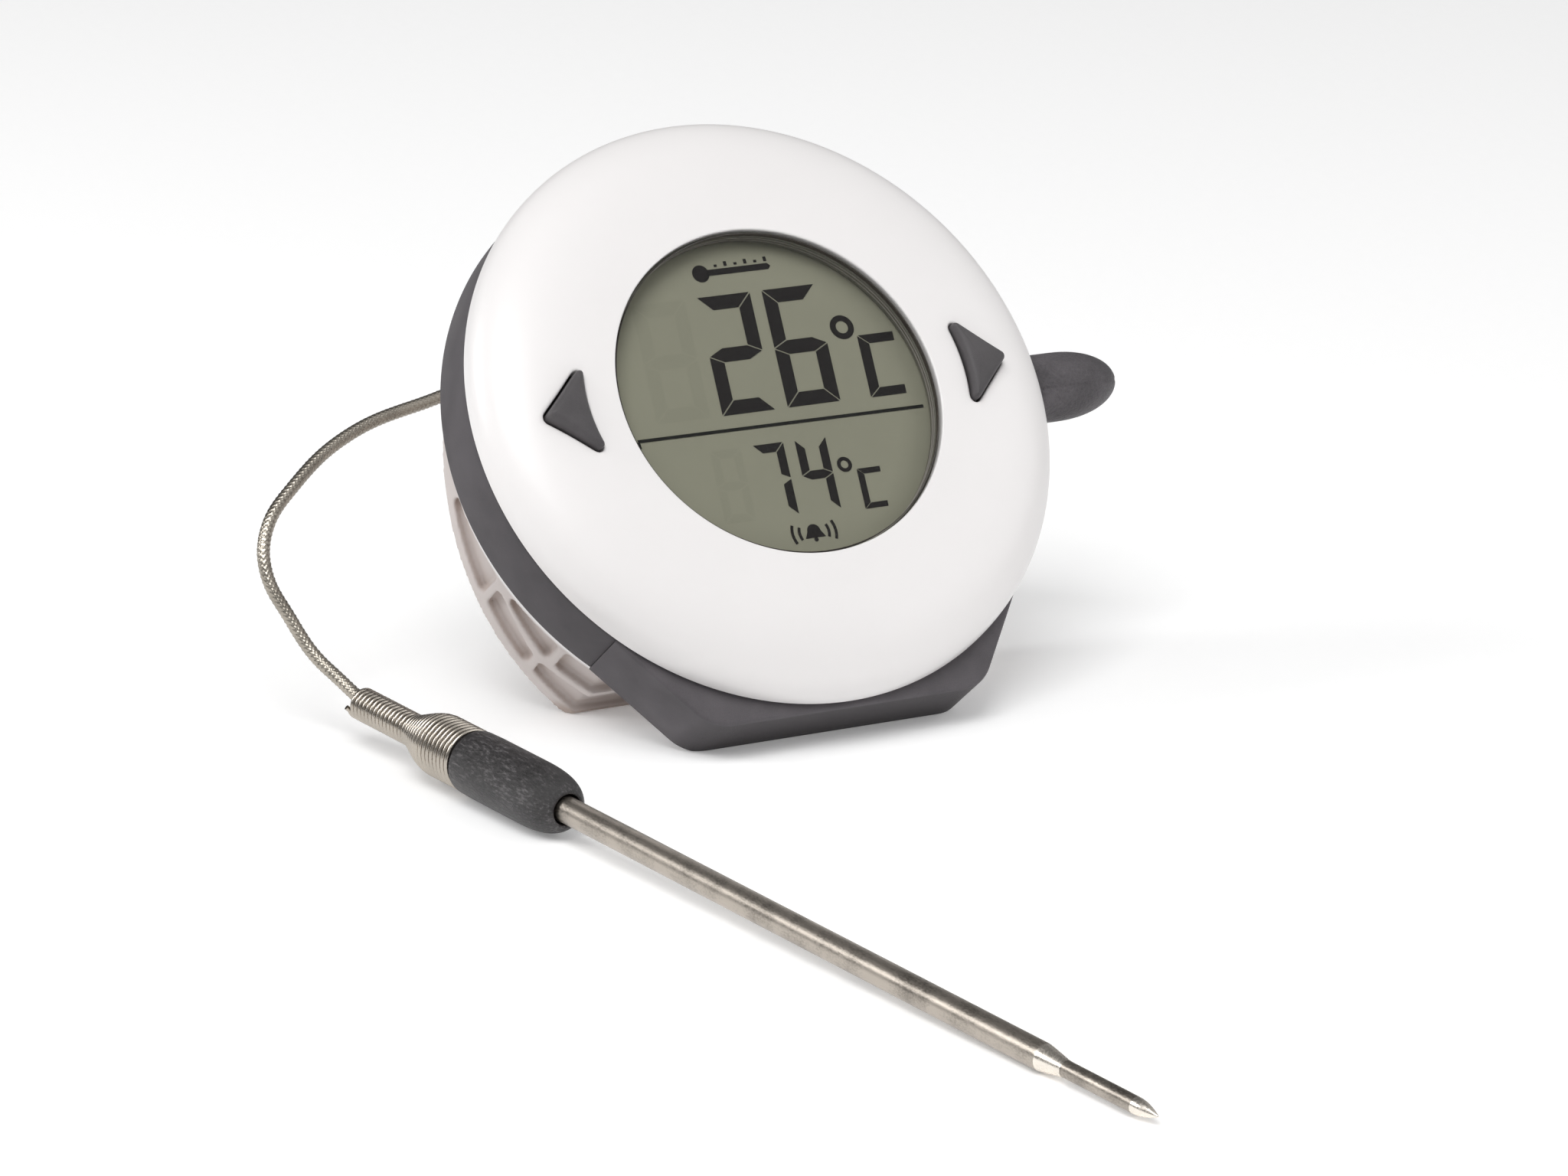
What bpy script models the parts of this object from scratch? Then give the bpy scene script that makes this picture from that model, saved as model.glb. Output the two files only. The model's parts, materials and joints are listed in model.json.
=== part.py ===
"""Leave-in meat thermometer: a round tilted alarm display and its wired steel probe.

The display head leans back on a rubber foot and on the lower edge of its wedge-shaped rear
housing. A right-angle plug in its side carries a braided cable to the probe, which lies on
the table. Lengths are in metres, +Z is up, and the origin is the middle of the small flat
on which the foot rests.

Head frame: X right, Y rearwards from the window plane, Z up along the face.
Rear frame: X right, Y out of the sloping rear face, Z up along that face.
Probe frame: X along the probe from the back end of its spring to the tip.
"""

import bpy
import bmesh
import math
from mathutils import Euler, Matrix, Vector

MM = 0.001

# Attitude of the head on the table
LEAN = math.radians(38.57)
WINDOW_HEIGHT = 42.33 * MM

# Clearances and tessellation
GAP = 0.3 * MM
BIG_STEPS = 56
MID_STEPS = 40
SMALL_STEPS = 24
TINY_STEPS = 12

# Front cover: a shallow dome around the round window
WINDOW_RADIUS = 22.66 * MM
COVER_RADIUS = 40.5 * MM
COVER_DEPTH = 7.3 * MM
COVER_WALL = 1.9 * MM
COVER_INNER_RADIUS = 38.6 * MM
DOME_POWER = 2.5
SEAT_RADIUS = 24.9 * MM
SEAT_DEPTH = 1.3 * MM
DOME_RINGS = 8
INNER_RINGS = 4

# Display stack behind the window
LENS_FRONT = 0.15 * MM
BEZEL_RADIUS = 24.6 * MM
BEZEL_INNER = 22.35 * MM
BEZEL_BACK = 3.2 * MM
LCD_FRONT = 3.5 * MM
LCD_GLASS = 1.2 * MM
CARRIER_RADIUS = 25.5 * MM
CARRIER_LEDGE = 22.8 * MM
BOARD_FRONT = 7.9 * MM
BOARD_THICKNESS = 1.2 * MM
BOARD_RADIUS = 26.6 * MM
BOARD_EAR_X = 34.0 * MM
BOARD_EAR_HALF = 4.2 * MM
BOARD_LUG_Z = 31.2 * MM
BOARD_LUG_HALF = 3.0 * MM
BOARD_SCREW_Z = 28.7 * MM

# Alarm buttons: rounded triangles that point outwards
BUTTON_INNER_X = 26.45 * MM
BUTTON_APEX_X = 34.3 * MM
BUTTON_HALF = 6.6 * MM
BUTTON_CORNER = 1.0 * MM
BUTTON_HOLLOW = 0.6 * MM
HOLLOW_STEPS = 8
BUTTON_TOP = -0.5 * MM
BUTTON_FLANGE = 0.7 * MM
BUTTON_FLANGE_FRONT = 3.6 * MM
BUTTON_BACK = 4.1 * MM
BUTTON_TRAVEL = 0.6 * MM
SWITCH_X = 30.0 * MM
SWITCH_SIZE = 6.0 * MM
SWITCH_FRONT = 5.1 * MM
SWITCH_FLOOR = 0.4 * MM
PLUNGER_RADIUS = 1.5 * MM

# Rubber bumper band and foot
BAND_RADIUS = 40.16 * MM
BAND_INNER = 37.8 * MM
BAND_FRONT = 7.6 * MM
BAND_BACK = 17.11 * MM
FOOT_DROP = 41.14 * MM
FOOT_CORNER = 6.0 * MM
FOOT_SIDE_ANGLE = math.radians(-36.2)
SEAM_ANGLE = math.radians(-43.4)

# Rear housing: a cup whose back slopes, so that it is deepest at the bottom
HOUSING_RADIUS = 38.2 * MM
HOUSING_NECK = 37.5 * MM
HOUSING_WALL = 2.0 * MM
HOUSING_BACK_WALL = 2.8 * MM
HOUSING_SHOULDER = 17.4 * MM
HOUSING_TOP_BACK = 17.6 * MM
LEDGE_BACK = 17.3 * MM
CHORD_DROP = 28.3 * MM
REAR_DEPTH = 24.3 * MM
REAR_SLOPE = math.atan(0.33)

# Lattice of shallow pockets around the housing wall
POCKET_DEPTH = 1.2 * MM
POCKET_CORNER = 0.7 * MM
POCKET_FRONT = 20.9 * MM
POCKET_REAR_MARGIN = 2.0 * MM
MID_RIB_FRONT = 25.4 * MM
MID_RIB_BACK = 26.7 * MM
POCKET_RIB = 1.2 * MM

# Housing screws, from the rear into posts of the front cover
SCREW_PLACES = ((17.0 * MM, 27.0 * MM), (-17.0 * MM, 27.0 * MM),
                (12.0 * MM, -32.0 * MM), (-12.0 * MM, -32.0 * MM))
POST_RADIUS = 2.6 * MM
BOSS_RADIUS = 3.2 * MM
SCREW_HOLE = 1.25 * MM
SCREW_SHANK = 0.9 * MM
SCREW_HEAD = 2.0 * MM
HEAD_SEAT = 15.4 * MM
POST_BACK = 7.3 * MM
BOSS_FRONT = 7.9 * MM

# Battery bay, cover and cells, in the rear frame
BAY_HALF = 24.3 * MM
BAY_LOW = -24.8 * MM
BAY_HIGH = -2.2 * MM
BAY_DEPTH = 12.7 * MM
BAY_WALL = 1.2 * MM
COVER_PLATE = 1.4 * MM
COVER_HALF = 25.8 * MM
COVER_LOW = -26.5 * MM
COVER_HIGH = -0.5 * MM
CELL_RADIUS = 5.1 * MM
CELL_LENGTH = 43.2 * MM
NUB_RADIUS = 1.9 * MM
NUB_LENGTH = 0.9 * MM
CELL_DEPTH = -6.9 * MM
CELL_PLACES = {"upper": -8.0 * MM, "lower": -19.0 * MM}
CONTACT_THICKNESS = 0.4 * MM
SPRING_WIRE = 0.28 * MM

# Magnets and slide switches on the rear face
MAGNET_RADIUS = 6.0 * MM
MAGNET_THICKNESS = 2.4 * MM
MAGNET_X = 21.0 * MM
REAR_ROW = 9.5 * MM
KNOB_X = 7.5 * MM
KNOB_WIDTH = 3.2 * MM
KNOB_HEIGHT = 2.6 * MM
KNOB_TRAVEL = 3.0 * MM

# Probe socket and right-angle plug, on an axis across the band
SOCKET_DEPTH = 12.25 * MM
SOCKET_BORE = 1.6 * MM
SOCKET_COLLAR = 3.2 * MM
SOCKET_MOUTH = 39.8 * MM
PIN_RADIUS = 1.25 * MM
BOOT_BASE = 40.8 * MM
BOOT_LENGTH = 15.0 * MM
BOOT_RADIUS = 4.85 * MM
LEG_X = 46.5 * MM
LEG_DIRECTION = Vector((-0.3, 1.0, 0.35)).normalized()
LEG_LENGTH = 13.0 * MM
CABLE_RADIUS = 0.85 * MM

# Cable: from the plug, behind the head, down to the probe
CABLE_ROUTE = ((36.0, 44.0, 30.5), (20.0, 52.5, 33.5), (0.0, 55.0, 37.0), (-18.0, 52.0, 37.5),
               (-31.2, 48.4, 35.8), (-45.1, 45.4, 33.4), (-55.3, 40.9, 28.8), (-60.9, 37.3, 24.2),
               (-62.1, 34.4, 19.6), (-60.3, 31.6, 14.6), (-58.2, 28.4, 10.0), (-56.6, 25.4, 7.9))

# Probe, measured along its axis from the back end of the spring
PROBE_BACK = Vector((-55.09, 21.59, 5.36)) * MM
PROBE_HEADING = math.radians(-90.0 + 7.93)
PROBE_PITCH = math.radians(1.5)
SPRING_SLIM = 2.17 * MM
SPRING_WIDE = 4.08 * MM
SPRING_SLIM_END = 12.4 * MM
SPRING_FLARE_END = 19.8 * MM
SPRING_END = 25.6 * MM
SPRING_WALL = 0.72 * MM
HANDLE_RADIUS = 4.2 * MM
HANDLE_END = 46.0 * MM
HANDLE_NOSE = 8.4 * MM
HANDLE_BLUNT = 3.0
TUBE_RADIUS = 1.68 * MM
TUBE_START = 30.0 * MM
TUBE_BORE = 1.25 * MM
SHOULDER_START = 138.3 * MM
SHOULDER_END = 142.0 * MM
TIP_RADIUS = 1.02 * MM
TIP_START = 154.2 * MM
TIP_END = 158.0 * MM


def clear_scene():
    """Remove whatever the scene holds."""
    for item in list(bpy.data.objects):
        bpy.data.objects.remove(item, do_unlink=True)


def material(name, colour, roughness, metallic=0.0, alpha=1.0):
    """One Principled material."""
    mat = bpy.data.materials.new(name)
    mat.use_nodes = True
    shader = mat.node_tree.nodes["Principled BSDF"]
    shader.inputs["Base Color"].default_value = (*colour, 1.0)
    shader.inputs["Roughness"].default_value = roughness
    shader.inputs["Metallic"].default_value = metallic
    shader.inputs["Alpha"].default_value = alpha
    mat.diffuse_color = (*colour, alpha)
    return mat


def empty(name, location, rotation=(0.0, 0.0, 0.0), parent=None):
    """A frame that other objects are placed in."""
    frame = bpy.data.objects.new(name, None)
    frame.location = location
    frame.rotation_euler = rotation
    frame.parent = parent
    bpy.context.collection.objects.link(frame)
    return frame


def to_object(name, bm, mat=None, parent=None, place=(0.0, 0.0, 0.0), sharp=30.0):
    """Close a bmesh into a named object with smooth shading between soft edges."""
    bmesh.ops.recalc_face_normals(bm, faces=bm.faces)
    mesh = bpy.data.meshes.new(name)
    bm.to_mesh(mesh)
    bm.free()
    mesh.shade_smooth()
    mesh.set_sharp_from_angle(angle=math.radians(sharp))
    item = bpy.data.objects.new(name, mesh)
    if mat:
        mesh.materials.append(mat)
    item.parent = parent
    item.location = place
    bpy.context.collection.objects.link(item)
    return item


def turned_bmesh(profile, axis, steps, closed):
    """Spin a profile of (radius, distance along the axis) points about X or Y."""
    bm = bmesh.new()
    if axis == "Y":
        verts = [bm.verts.new((radius, along, 0.0)) for radius, along in profile]
        spin_axis = (0.0, 1.0, 0.0)
    else:
        verts = [bm.verts.new((along, 0.0, radius)) for radius, along in profile]
        spin_axis = (1.0, 0.0, 0.0)
    edges = [bm.edges.new(pair) for pair in zip(verts, verts[1:])]
    if closed:
        edges.append(bm.edges.new((verts[-1], verts[0])))
    bmesh.ops.spin(bm, geom=verts + edges, cent=(0.0, 0.0, 0.0), axis=spin_axis,
                   angle=2.0 * math.pi, steps=steps, use_merge=True)
    bmesh.ops.remove_doubles(bm, verts=bm.verts, dist=1e-7)
    flat = []
    for vert in bm.verts:
        on_axis = vert.co.cross(Vector(spin_axis)).length < 1e-7
        if on_axis and all(abs(face.normal.dot(Vector(spin_axis))) > 0.999 for face in vert.link_faces):
            flat.append(vert)
    bmesh.ops.dissolve_verts(bm, verts=flat)
    return bm


def turned(name, profile, mat=None, parent=None, axis="Y", steps=BIG_STEPS, place=(0, 0, 0)):
    """A turned piece; its profile closes on the axis or, if it never meets it, on itself."""
    closed = min(radius for radius, _ in profile) > 0.0
    return to_object(name, turned_bmesh(profile, axis, steps, closed), mat, parent, place)


def prism_bmesh(outline, low, high, plane="XZ"):
    """Extrude an outline: in the XZ plane along Y, or in the YZ plane along X."""
    bm = bmesh.new()
    if plane == "XZ":
        verts = [bm.verts.new((a, low, b)) for a, b in outline]
        push = Vector((0.0, high - low, 0.0))
    else:
        verts = [bm.verts.new((low, a, b)) for a, b in outline]
        push = Vector((high - low, 0.0, 0.0))
    face = bm.faces.new(verts)
    pushed = bmesh.ops.extrude_face_region(bm, geom=[face])["geom"]
    moved = [part for part in pushed if isinstance(part, bmesh.types.BMVert)]
    bmesh.ops.translate(bm, verts=moved, vec=push)
    return bm


def box_bmesh(xs, ys, zs):
    """A block between the given limits."""
    bm = bmesh.new()
    size = Vector((xs[1] - xs[0], ys[1] - ys[0], zs[1] - zs[0]))
    middle = Vector((sum(xs), sum(ys), sum(zs))) / 2.0
    bmesh.ops.create_cube(bm, size=1.0, matrix=Matrix.Translation(middle) @ Matrix.Diagonal((*size, 1.0)))
    return bm


def box(name, xs, ys, zs, mat=None, parent=None, place=(0, 0, 0)):
    """A block as an object."""
    return to_object(name, box_bmesh(xs, ys, zs), mat, parent, place)


def joined(name, meshes, mat=None, parent=None, place=(0, 0, 0)):
    """Several separate bodies in one object, for cutters and for unions."""
    whole = bmesh.new()
    for bm in meshes:
        bmesh.ops.recalc_face_normals(bm, faces=bm.faces)
        part = bpy.data.meshes.new("part")
        bm.to_mesh(part)
        bm.free()
        whole.from_mesh(part)
        bpy.data.meshes.remove(part)
    return to_object(name, whole, mat, parent, place)


def moved(bm, offset):
    """Shift a bmesh and hand it back."""
    bmesh.ops.translate(bm, verts=bm.verts, vec=Vector(offset))
    return bm


def combine(target, tool, operation):
    """Boolean modifier with a hidden tool."""
    tool.hide_render = True
    tool.display_type = 'WIRE'
    modifier = target.modifiers.new(tool.name, 'BOOLEAN')
    modifier.operation = operation
    modifier.object = tool
    modifier.solver = 'EXACT'


def rounded(corners, radius, steps=4):
    """Outline with every corner replaced by an arc of the given radius."""
    outline = []
    count = len(corners)
    for index, corner in enumerate(corners):
        here = Vector(corner)
        back = (Vector(corners[index - 1]) - here).normalized()
        ahead = (Vector(corners[(index + 1) % count]) - here).normalized()
        half = back.angle(ahead) / 2.0
        centre = here + (back + ahead).normalized() * radius / math.sin(half)
        start = here + back * radius / math.tan(half) - centre
        end = here + ahead * radius / math.tan(half) - centre
        sweep = start.angle_signed(end)
        for step in range(steps + 1):
            turn = Matrix.Rotation(-sweep * step / steps, 2)
            outline.append(tuple(centre + turn @ start))
    return outline


def arc(radius, first, last, steps):
    """Points of an arc about the origin, angles in radians."""
    angles = [first + (last - first) * step / steps for step in range(steps + 1)]
    return [(radius * math.cos(angle), radius * math.sin(angle)) for angle in angles]


def dome(radius, outer_radius, front, back):
    """Depth of the cover's dome at a radius."""
    share = min(max((radius - WINDOW_RADIUS) / (outer_radius - WINDOW_RADIUS), 0.0), 1.0)
    return front + (back - front) * (1.0 - (1.0 - share ** DOME_POWER) ** (1.0 / DOME_POWER))


def dome_rings(inner_radius, outer_radius, front, back, rings):
    """Dome profile with rings that crowd towards the rounded shoulder."""
    points = []
    for ring in range(rings + 1):
        share = math.sin(0.5 * math.pi * ring / rings)
        radius = inner_radius + (outer_radius - inner_radius) * share
        points.append((radius, dome(radius, outer_radius, front, back)))
    return points


def rear_plane(height):
    """Depth of the sloping rear face at a height on the face."""
    return REAR_DEPTH - math.tan(REAR_SLOPE) * height


def table_height(depth):
    """Height, along the face, of the table plane at a depth."""
    return (depth * math.sin(LEAN) - WINDOW_HEIGHT) / math.cos(LEAN)


def button_corners(grow, side):
    """Triangle of a button, grown evenly by a distance."""
    slope = math.atan2(BUTTON_HALF, BUTTON_APEX_X - BUTTON_INNER_X)
    apex = BUTTON_APEX_X + grow / math.sin(slope)
    inner = BUTTON_INNER_X - grow
    half = (apex - inner) * math.tan(slope)
    return [(side * inner, -half), (side * apex, 0.0), (side * inner, half)]


def button_outline(grow, side):
    """Rounded outline of a button or of its opening, hollowed on the side of the window."""
    corners = button_corners(grow, side)
    outline = rounded(corners, BUTTON_CORNER + grow)
    start = Vector(outline[-1])
    end = Vector(outline[0])
    outline += [tuple(start.lerp(end, step / HOLLOW_STEPS)) for step in range(1, HOLLOW_STEPS)]
    half = corners[-1][1]
    hollowed = []
    for x, z in outline:
        share = (BUTTON_APEX_X - abs(x)) / (BUTTON_APEX_X - BUTTON_INNER_X)
        share = min(max(share, 0.0), 1.0)
        push = BUTTON_HOLLOW * share ** 4 * (1.0 - (z / half) ** 2)
        hollowed.append((x + side * push, z))
    return hollowed


def make_materials():
    """Finish of every kind of piece."""
    return {
        "white": material("white_plastic", (0.90, 0.89, 0.88), 0.42),
        "housing": material("housing_plastic", (0.68, 0.64, 0.62), 0.5),
        "rubber": material("grey_rubber", (0.095, 0.085, 0.095), 0.7),
        "lens": material("clear_lens", (0.95, 0.97, 0.96), 0.05, alpha=0.2),
        "dark": material("dark_plastic", (0.05, 0.04, 0.035), 0.45),
        "lcd": material("lcd_glass", (0.24, 0.24, 0.18), 0.25),
        "board": material("board_green", (0.03, 0.16, 0.07), 0.55),
        "chip": material("black_epoxy", (0.02, 0.02, 0.022), 0.5),
        "zebra": material("zebra_silicone", (0.55, 0.35, 0.38), 0.7),
        "steel": material("brushed_steel", (0.42, 0.39, 0.35), 0.35, 1.0),
        "braid": material("braided_steel", (0.45, 0.43, 0.40), 0.42, 1.0),
        "nickel": material("nickel_plate", (0.70, 0.69, 0.66), 0.25, 1.0),
        "gold": material("gold_flash", (0.85, 0.62, 0.26), 0.25, 1.0),
        "brass": material("brass", (0.72, 0.55, 0.28), 0.35, 1.0),
        "cell": material("cell_sleeve", (0.05, 0.06, 0.09), 0.4),
        "handle": material("handle_plastic", (0.055, 0.052, 0.055), 0.55),
    }


def make_front_cover(mats, head):
    """White dome with the window, two button openings and the screw posts."""
    inner_front = COVER_WALL
    outer = dome_rings(WINDOW_RADIUS, COVER_RADIUS, 0.0, COVER_DEPTH, DOME_RINGS)
    inner = dome_rings(SEAT_RADIUS, COVER_INNER_RADIUS, inner_front, COVER_DEPTH, INNER_RINGS)
    seat = [(SEAT_RADIUS, SEAT_DEPTH), (WINDOW_RADIUS, SEAT_DEPTH)]
    cover = turned("front_cover", outer + inner[::-1] + seat, mats["white"], head)
    posts = []
    holes = []
    places = [(x, z, POST_RADIUS) for x, z in SCREW_PLACES]
    places += [(0.0, side * BOARD_SCREW_Z, 2.2 * MM) for side in (1, -1)]
    for x, z, radius in places:
        reach = math.hypot(x, z)
        root = dome(reach + radius, COVER_RADIUS, 0.0, COVER_DEPTH) + 0.25 * MM
        back = BOARD_FRONT - GAP if x == 0.0 else POST_BACK
        post = [(0.0, root), (radius, root), (radius, back), (0.0, back)]
        hole = [(0.0, 3.4 * MM), (SCREW_HOLE, 3.4 * MM), (SCREW_HOLE, 9.0 * MM), (0.0, 9.0 * MM)]
        posts.append(moved(turned_bmesh(post, "Y", SMALL_STEPS, False), (x, 0.0, z)))
        holes.append(moved(turned_bmesh(hole, "Y", TINY_STEPS, False), (x, 0.0, z)))
    for side in (1, -1):
        holes.append(prism_bmesh(button_outline(GAP, side), -2.0 * MM, 4.0 * MM))
    combine(cover, joined("cover_posts", posts, parent=head), 'UNION')
    combine(cover, joined("cover_holes", holes, parent=head), 'DIFFERENCE')


def make_display(mats, head):
    """Lens, dark bezel, LCD, its carrier and the two elastomer strips."""
    rim = WINDOW_RADIUS - GAP
    chamfer = 0.15 * MM
    lens = [(0.0, LENS_FRONT), (rim - chamfer, LENS_FRONT), (rim, LENS_FRONT + chamfer),
            (rim, SEAT_DEPTH), (0.0, SEAT_DEPTH)]
    turned("window_lens", lens, mats["lens"], head)
    bezel_front = SEAT_DEPTH + GAP
    bezel = [(BEZEL_INNER, bezel_front), (BEZEL_RADIUS, bezel_front),
             (BEZEL_RADIUS, BEZEL_BACK), (BEZEL_INNER, BEZEL_BACK)]
    turned("window_bezel", bezel, mats["dark"], head)

    front_glass = 23.2 * MM
    rear_glass = 24.3 * MM
    lcd_back = LCD_FRONT + 2.0 * LCD_GLASS
    step = LCD_FRONT + LCD_GLASS
    lcd = [(0.0, LCD_FRONT), (front_glass, LCD_FRONT), (front_glass, step),
           (rear_glass, step), (rear_glass, lcd_back), (0.0, lcd_back)]
    turned("lcd_panel", lcd, mats["lcd"], head, steps=MID_STEPS)
    pocket = rear_glass + GAP
    ledge = lcd_back + GAP
    back = BOARD_FRONT - GAP
    carrier = [(pocket, LCD_FRONT), (CARRIER_RADIUS, LCD_FRONT), (CARRIER_RADIUS, back),
               (CARRIER_LEDGE, back), (CARRIER_LEDGE, ledge), (pocket, ledge)]
    turned("lcd_carrier", carrier, mats["dark"], head, steps=MID_STEPS)
    strip_z = 17.5 * MM
    for name, side in (("zebra_strip_upper", 1), ("zebra_strip_lower", -1)):
        box(name, (-12 * MM, 12 * MM), (ledge, back), (-1 * MM, 1 * MM), mats["zebra"], head,
            (0.0, 0.0, side * strip_z))


def board_outline():
    """Round board with an ear for each button switch and a lug for each board screw."""
    outline = []
    for quarter in range(4):
        reach, half = ((BOARD_EAR_X, BOARD_EAR_HALF), (BOARD_LUG_Z, BOARD_LUG_HALF))[quarter % 2]
        other = (BOARD_LUG_HALF, BOARD_EAR_HALF)[quarter % 2]
        start = math.asin(half / BOARD_RADIUS)
        end = math.pi / 2.0 - math.asin(other / BOARD_RADIUS)
        turn = Matrix.Rotation(quarter * math.pi / 2.0, 2)
        points = [(reach, -half), (reach, half)] + arc(BOARD_RADIUS, start, end, 9)
        outline += [tuple(turn @ Vector(point)) for point in points]
    return outline


def make_board(mats, head):
    """Circuit board, its chip, buzzer, button switches and screws."""
    back = BOARD_FRONT + BOARD_THICKNESS
    board = to_object("circuit_board", prism_bmesh(board_outline(), BOARD_FRONT, back),
                      mats["board"], head)
    hole = [(0.0, BOARD_FRONT - 1 * MM), (SCREW_HOLE, BOARD_FRONT - 1 * MM),
            (SCREW_HOLE, back + 1 * MM), (0.0, back + 1 * MM)]
    holes = [moved(turned_bmesh(hole, "Y", TINY_STEPS, False), (0.0, 0.0, side * BOARD_SCREW_Z))
             for side in (1, -1)]
    combine(board, joined("board_holes", holes, parent=head), 'DIFFERENCE')

    seat = back + GAP
    box("controller_chip", (-4 * MM, 4 * MM), (seat, seat + 1.2 * MM), (3 * MM, 11 * MM),
        mats["chip"], head)
    buzzer = [(0.0, 0.0), (5.5 * MM, 0.0), (5.5 * MM, 2.4 * MM), (1.0 * MM, 2.4 * MM),
              (1.0 * MM, 1.6 * MM), (0.0, 1.6 * MM)]
    turned("buzzer", buzzer, mats["chip"], head, steps=SMALL_STEPS, place=(0.0, seat, -18 * MM))
    for name, side in (("board_screw_upper", 1), ("board_screw_lower", -1)):
        screw(name, mats, head, (0.0, seat, side * BOARD_SCREW_Z), 5.2 * MM)
    for name, side in (("left", -1), ("right", 1)):
        make_button(name, side, mats, head)


def screw(name, mats, head, seat, length):
    """Pan-head screw: its head starts at the seat and its shank points to the front."""
    slot = 0.7 * MM
    slot_depth = 0.6 * MM
    head_height = 1.3 * MM
    edge = 0.4 * MM
    profile = [(0.0, -length), (SCREW_SHANK * 0.4, -length), (SCREW_SHANK, 0.8 * MM - length),
               (SCREW_SHANK, 0.0), (SCREW_HEAD - 0.2 * MM, 0.0),
               (SCREW_HEAD - 0.2 * MM, head_height - edge), (SCREW_HEAD - edge, head_height),
               (slot, head_height), (slot, head_height - slot_depth), (0.0, head_height - slot_depth)]
    turned(name, profile, mats["steel"], head, steps=TINY_STEPS, place=seat)


def make_button(name, side, mats, head):
    """Rubber cap that shows in the cover, and the switch with the plunger it pushes."""
    origin = Vector((side * SWITCH_X, 0.0, 0.0))
    cap = prism_bmesh(button_outline(0.0, side), BUTTON_TOP, BUTTON_BACK)
    front = [edge for edge in cap.edges if all(v.co.y < BUTTON_TOP + 1e-6 for v in edge.verts)]
    bmesh.ops.bevel(cap, geom=front, offset=0.45 * MM, segments=2, affect='EDGES', profile=0.5)
    item = to_object(f"button_cap_{name}", moved(cap, -origin), mats["rubber"], head, origin)
    flange_back = BUTTON_BACK - 0.1 * MM
    flange = prism_bmesh(button_outline(BUTTON_FLANGE, side), BUTTON_FLANGE_FRONT, flange_back)
    tool = to_object(f"button_flange_{name}", moved(flange, -origin), None, head, origin)
    combine(item, tool, 'UNION')

    half = SWITCH_SIZE / 2.0
    back = BOARD_FRONT - GAP
    switch = box(f"tact_switch_{name}", (-half, half), (SWITCH_FRONT, back), (-half, half),
                 mats["chip"], head, origin)
    well = PLUNGER_RADIUS + GAP
    floor = back - SWITCH_FLOOR
    bore = [(0.0, SWITCH_FRONT - 1 * MM), (well, SWITCH_FRONT - 1 * MM), (well, floor), (0.0, floor)]
    combine(switch, turned(f"tact_bore_{name}", bore, None, head, steps=TINY_STEPS, place=origin),
            'DIFFERENCE')
    top = BUTTON_BACK + GAP
    tip = floor - GAP - BUTTON_TRAVEL
    plunger = [(0.0, top), (PLUNGER_RADIUS, top), (PLUNGER_RADIUS, tip), (0.0, tip)]
    turned(f"tact_plunger_{name}", plunger, mats["white"], head, steps=TINY_STEPS, place=origin)


def foot_outline():
    """Foot block: under the head, with straight flanks tangent to the band."""
    seam_gap = GAP / BAND_INNER / 2.0
    seam = SEAM_ANGLE - seam_gap
    mirror_seam = -math.pi - seam
    flank = math.pi / 2.0 + FOOT_SIDE_ANGLE
    corner_x = (BAND_RADIUS - FOOT_DROP * math.sin(-FOOT_SIDE_ANGLE)) / math.cos(FOOT_SIDE_ANGLE)
    tangent = FOOT_CORNER * math.tan(flank / 2.0)
    centre = Vector((corner_x - tangent, -FOOT_DROP + FOOT_CORNER))
    inner = arc(BAND_INNER, mirror_seam, seam, 26)
    flank_start = Vector((math.cos(seam), math.sin(seam))) * BAND_RADIUS / math.cos(seam - FOOT_SIDE_ANGLE)
    bend = arc(FOOT_CORNER, FOOT_SIDE_ANGLE, -math.pi / 2.0, 6)
    right = [tuple(flank_start)] + [tuple(centre + Vector(point)) for point in bend]
    left = [(-x, z) for x, z in right[::-1]]
    return inner + right + left


def make_band_and_foot(mats, head):
    """Rubber band around the head, open at the bottom, where the foot block closes the ring."""
    seam = SEAM_ANGLE + GAP / BAND_INNER / 2.0
    over = math.pi - seam
    outline = arc(BAND_RADIUS, seam, over, 46) + arc(BAND_INNER, over, seam, 46)
    band = to_object("rubber_band", prism_bmesh(outline, BAND_FRONT, BAND_BACK), mats["rubber"], head)
    hole = [(0.0, 30 * MM), (SOCKET_COLLAR + 0.6 * MM, 30 * MM),
            (SOCKET_COLLAR + 0.6 * MM, 45 * MM), (0.0, 45 * MM)]
    combine(band, turned("band_hole", hole, None, head, "X", SMALL_STEPS, (0.0, SOCKET_DEPTH, 0.0)),
            'DIFFERENCE')

    foot = prism_bmesh(foot_outline(), BAND_FRONT, BAND_BACK)
    on_table = Vector((0.0, BAND_BACK, table_height(BAND_BACK)))
    normal = Vector((0.0, math.sin(LEAN), -math.cos(LEAN)))
    cut = bmesh.ops.bisect_plane(foot, geom=foot.verts[:] + foot.edges[:] + foot.faces[:],
                                 plane_co=on_table, plane_no=normal, clear_outer=True)
    rim = [part for part in cut["geom_cut"] if isinstance(part, bmesh.types.BMEdge)]
    bmesh.ops.edgeloop_fill(foot, edges=rim)
    to_object("foot_block", foot, mats["rubber"], head)


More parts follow.
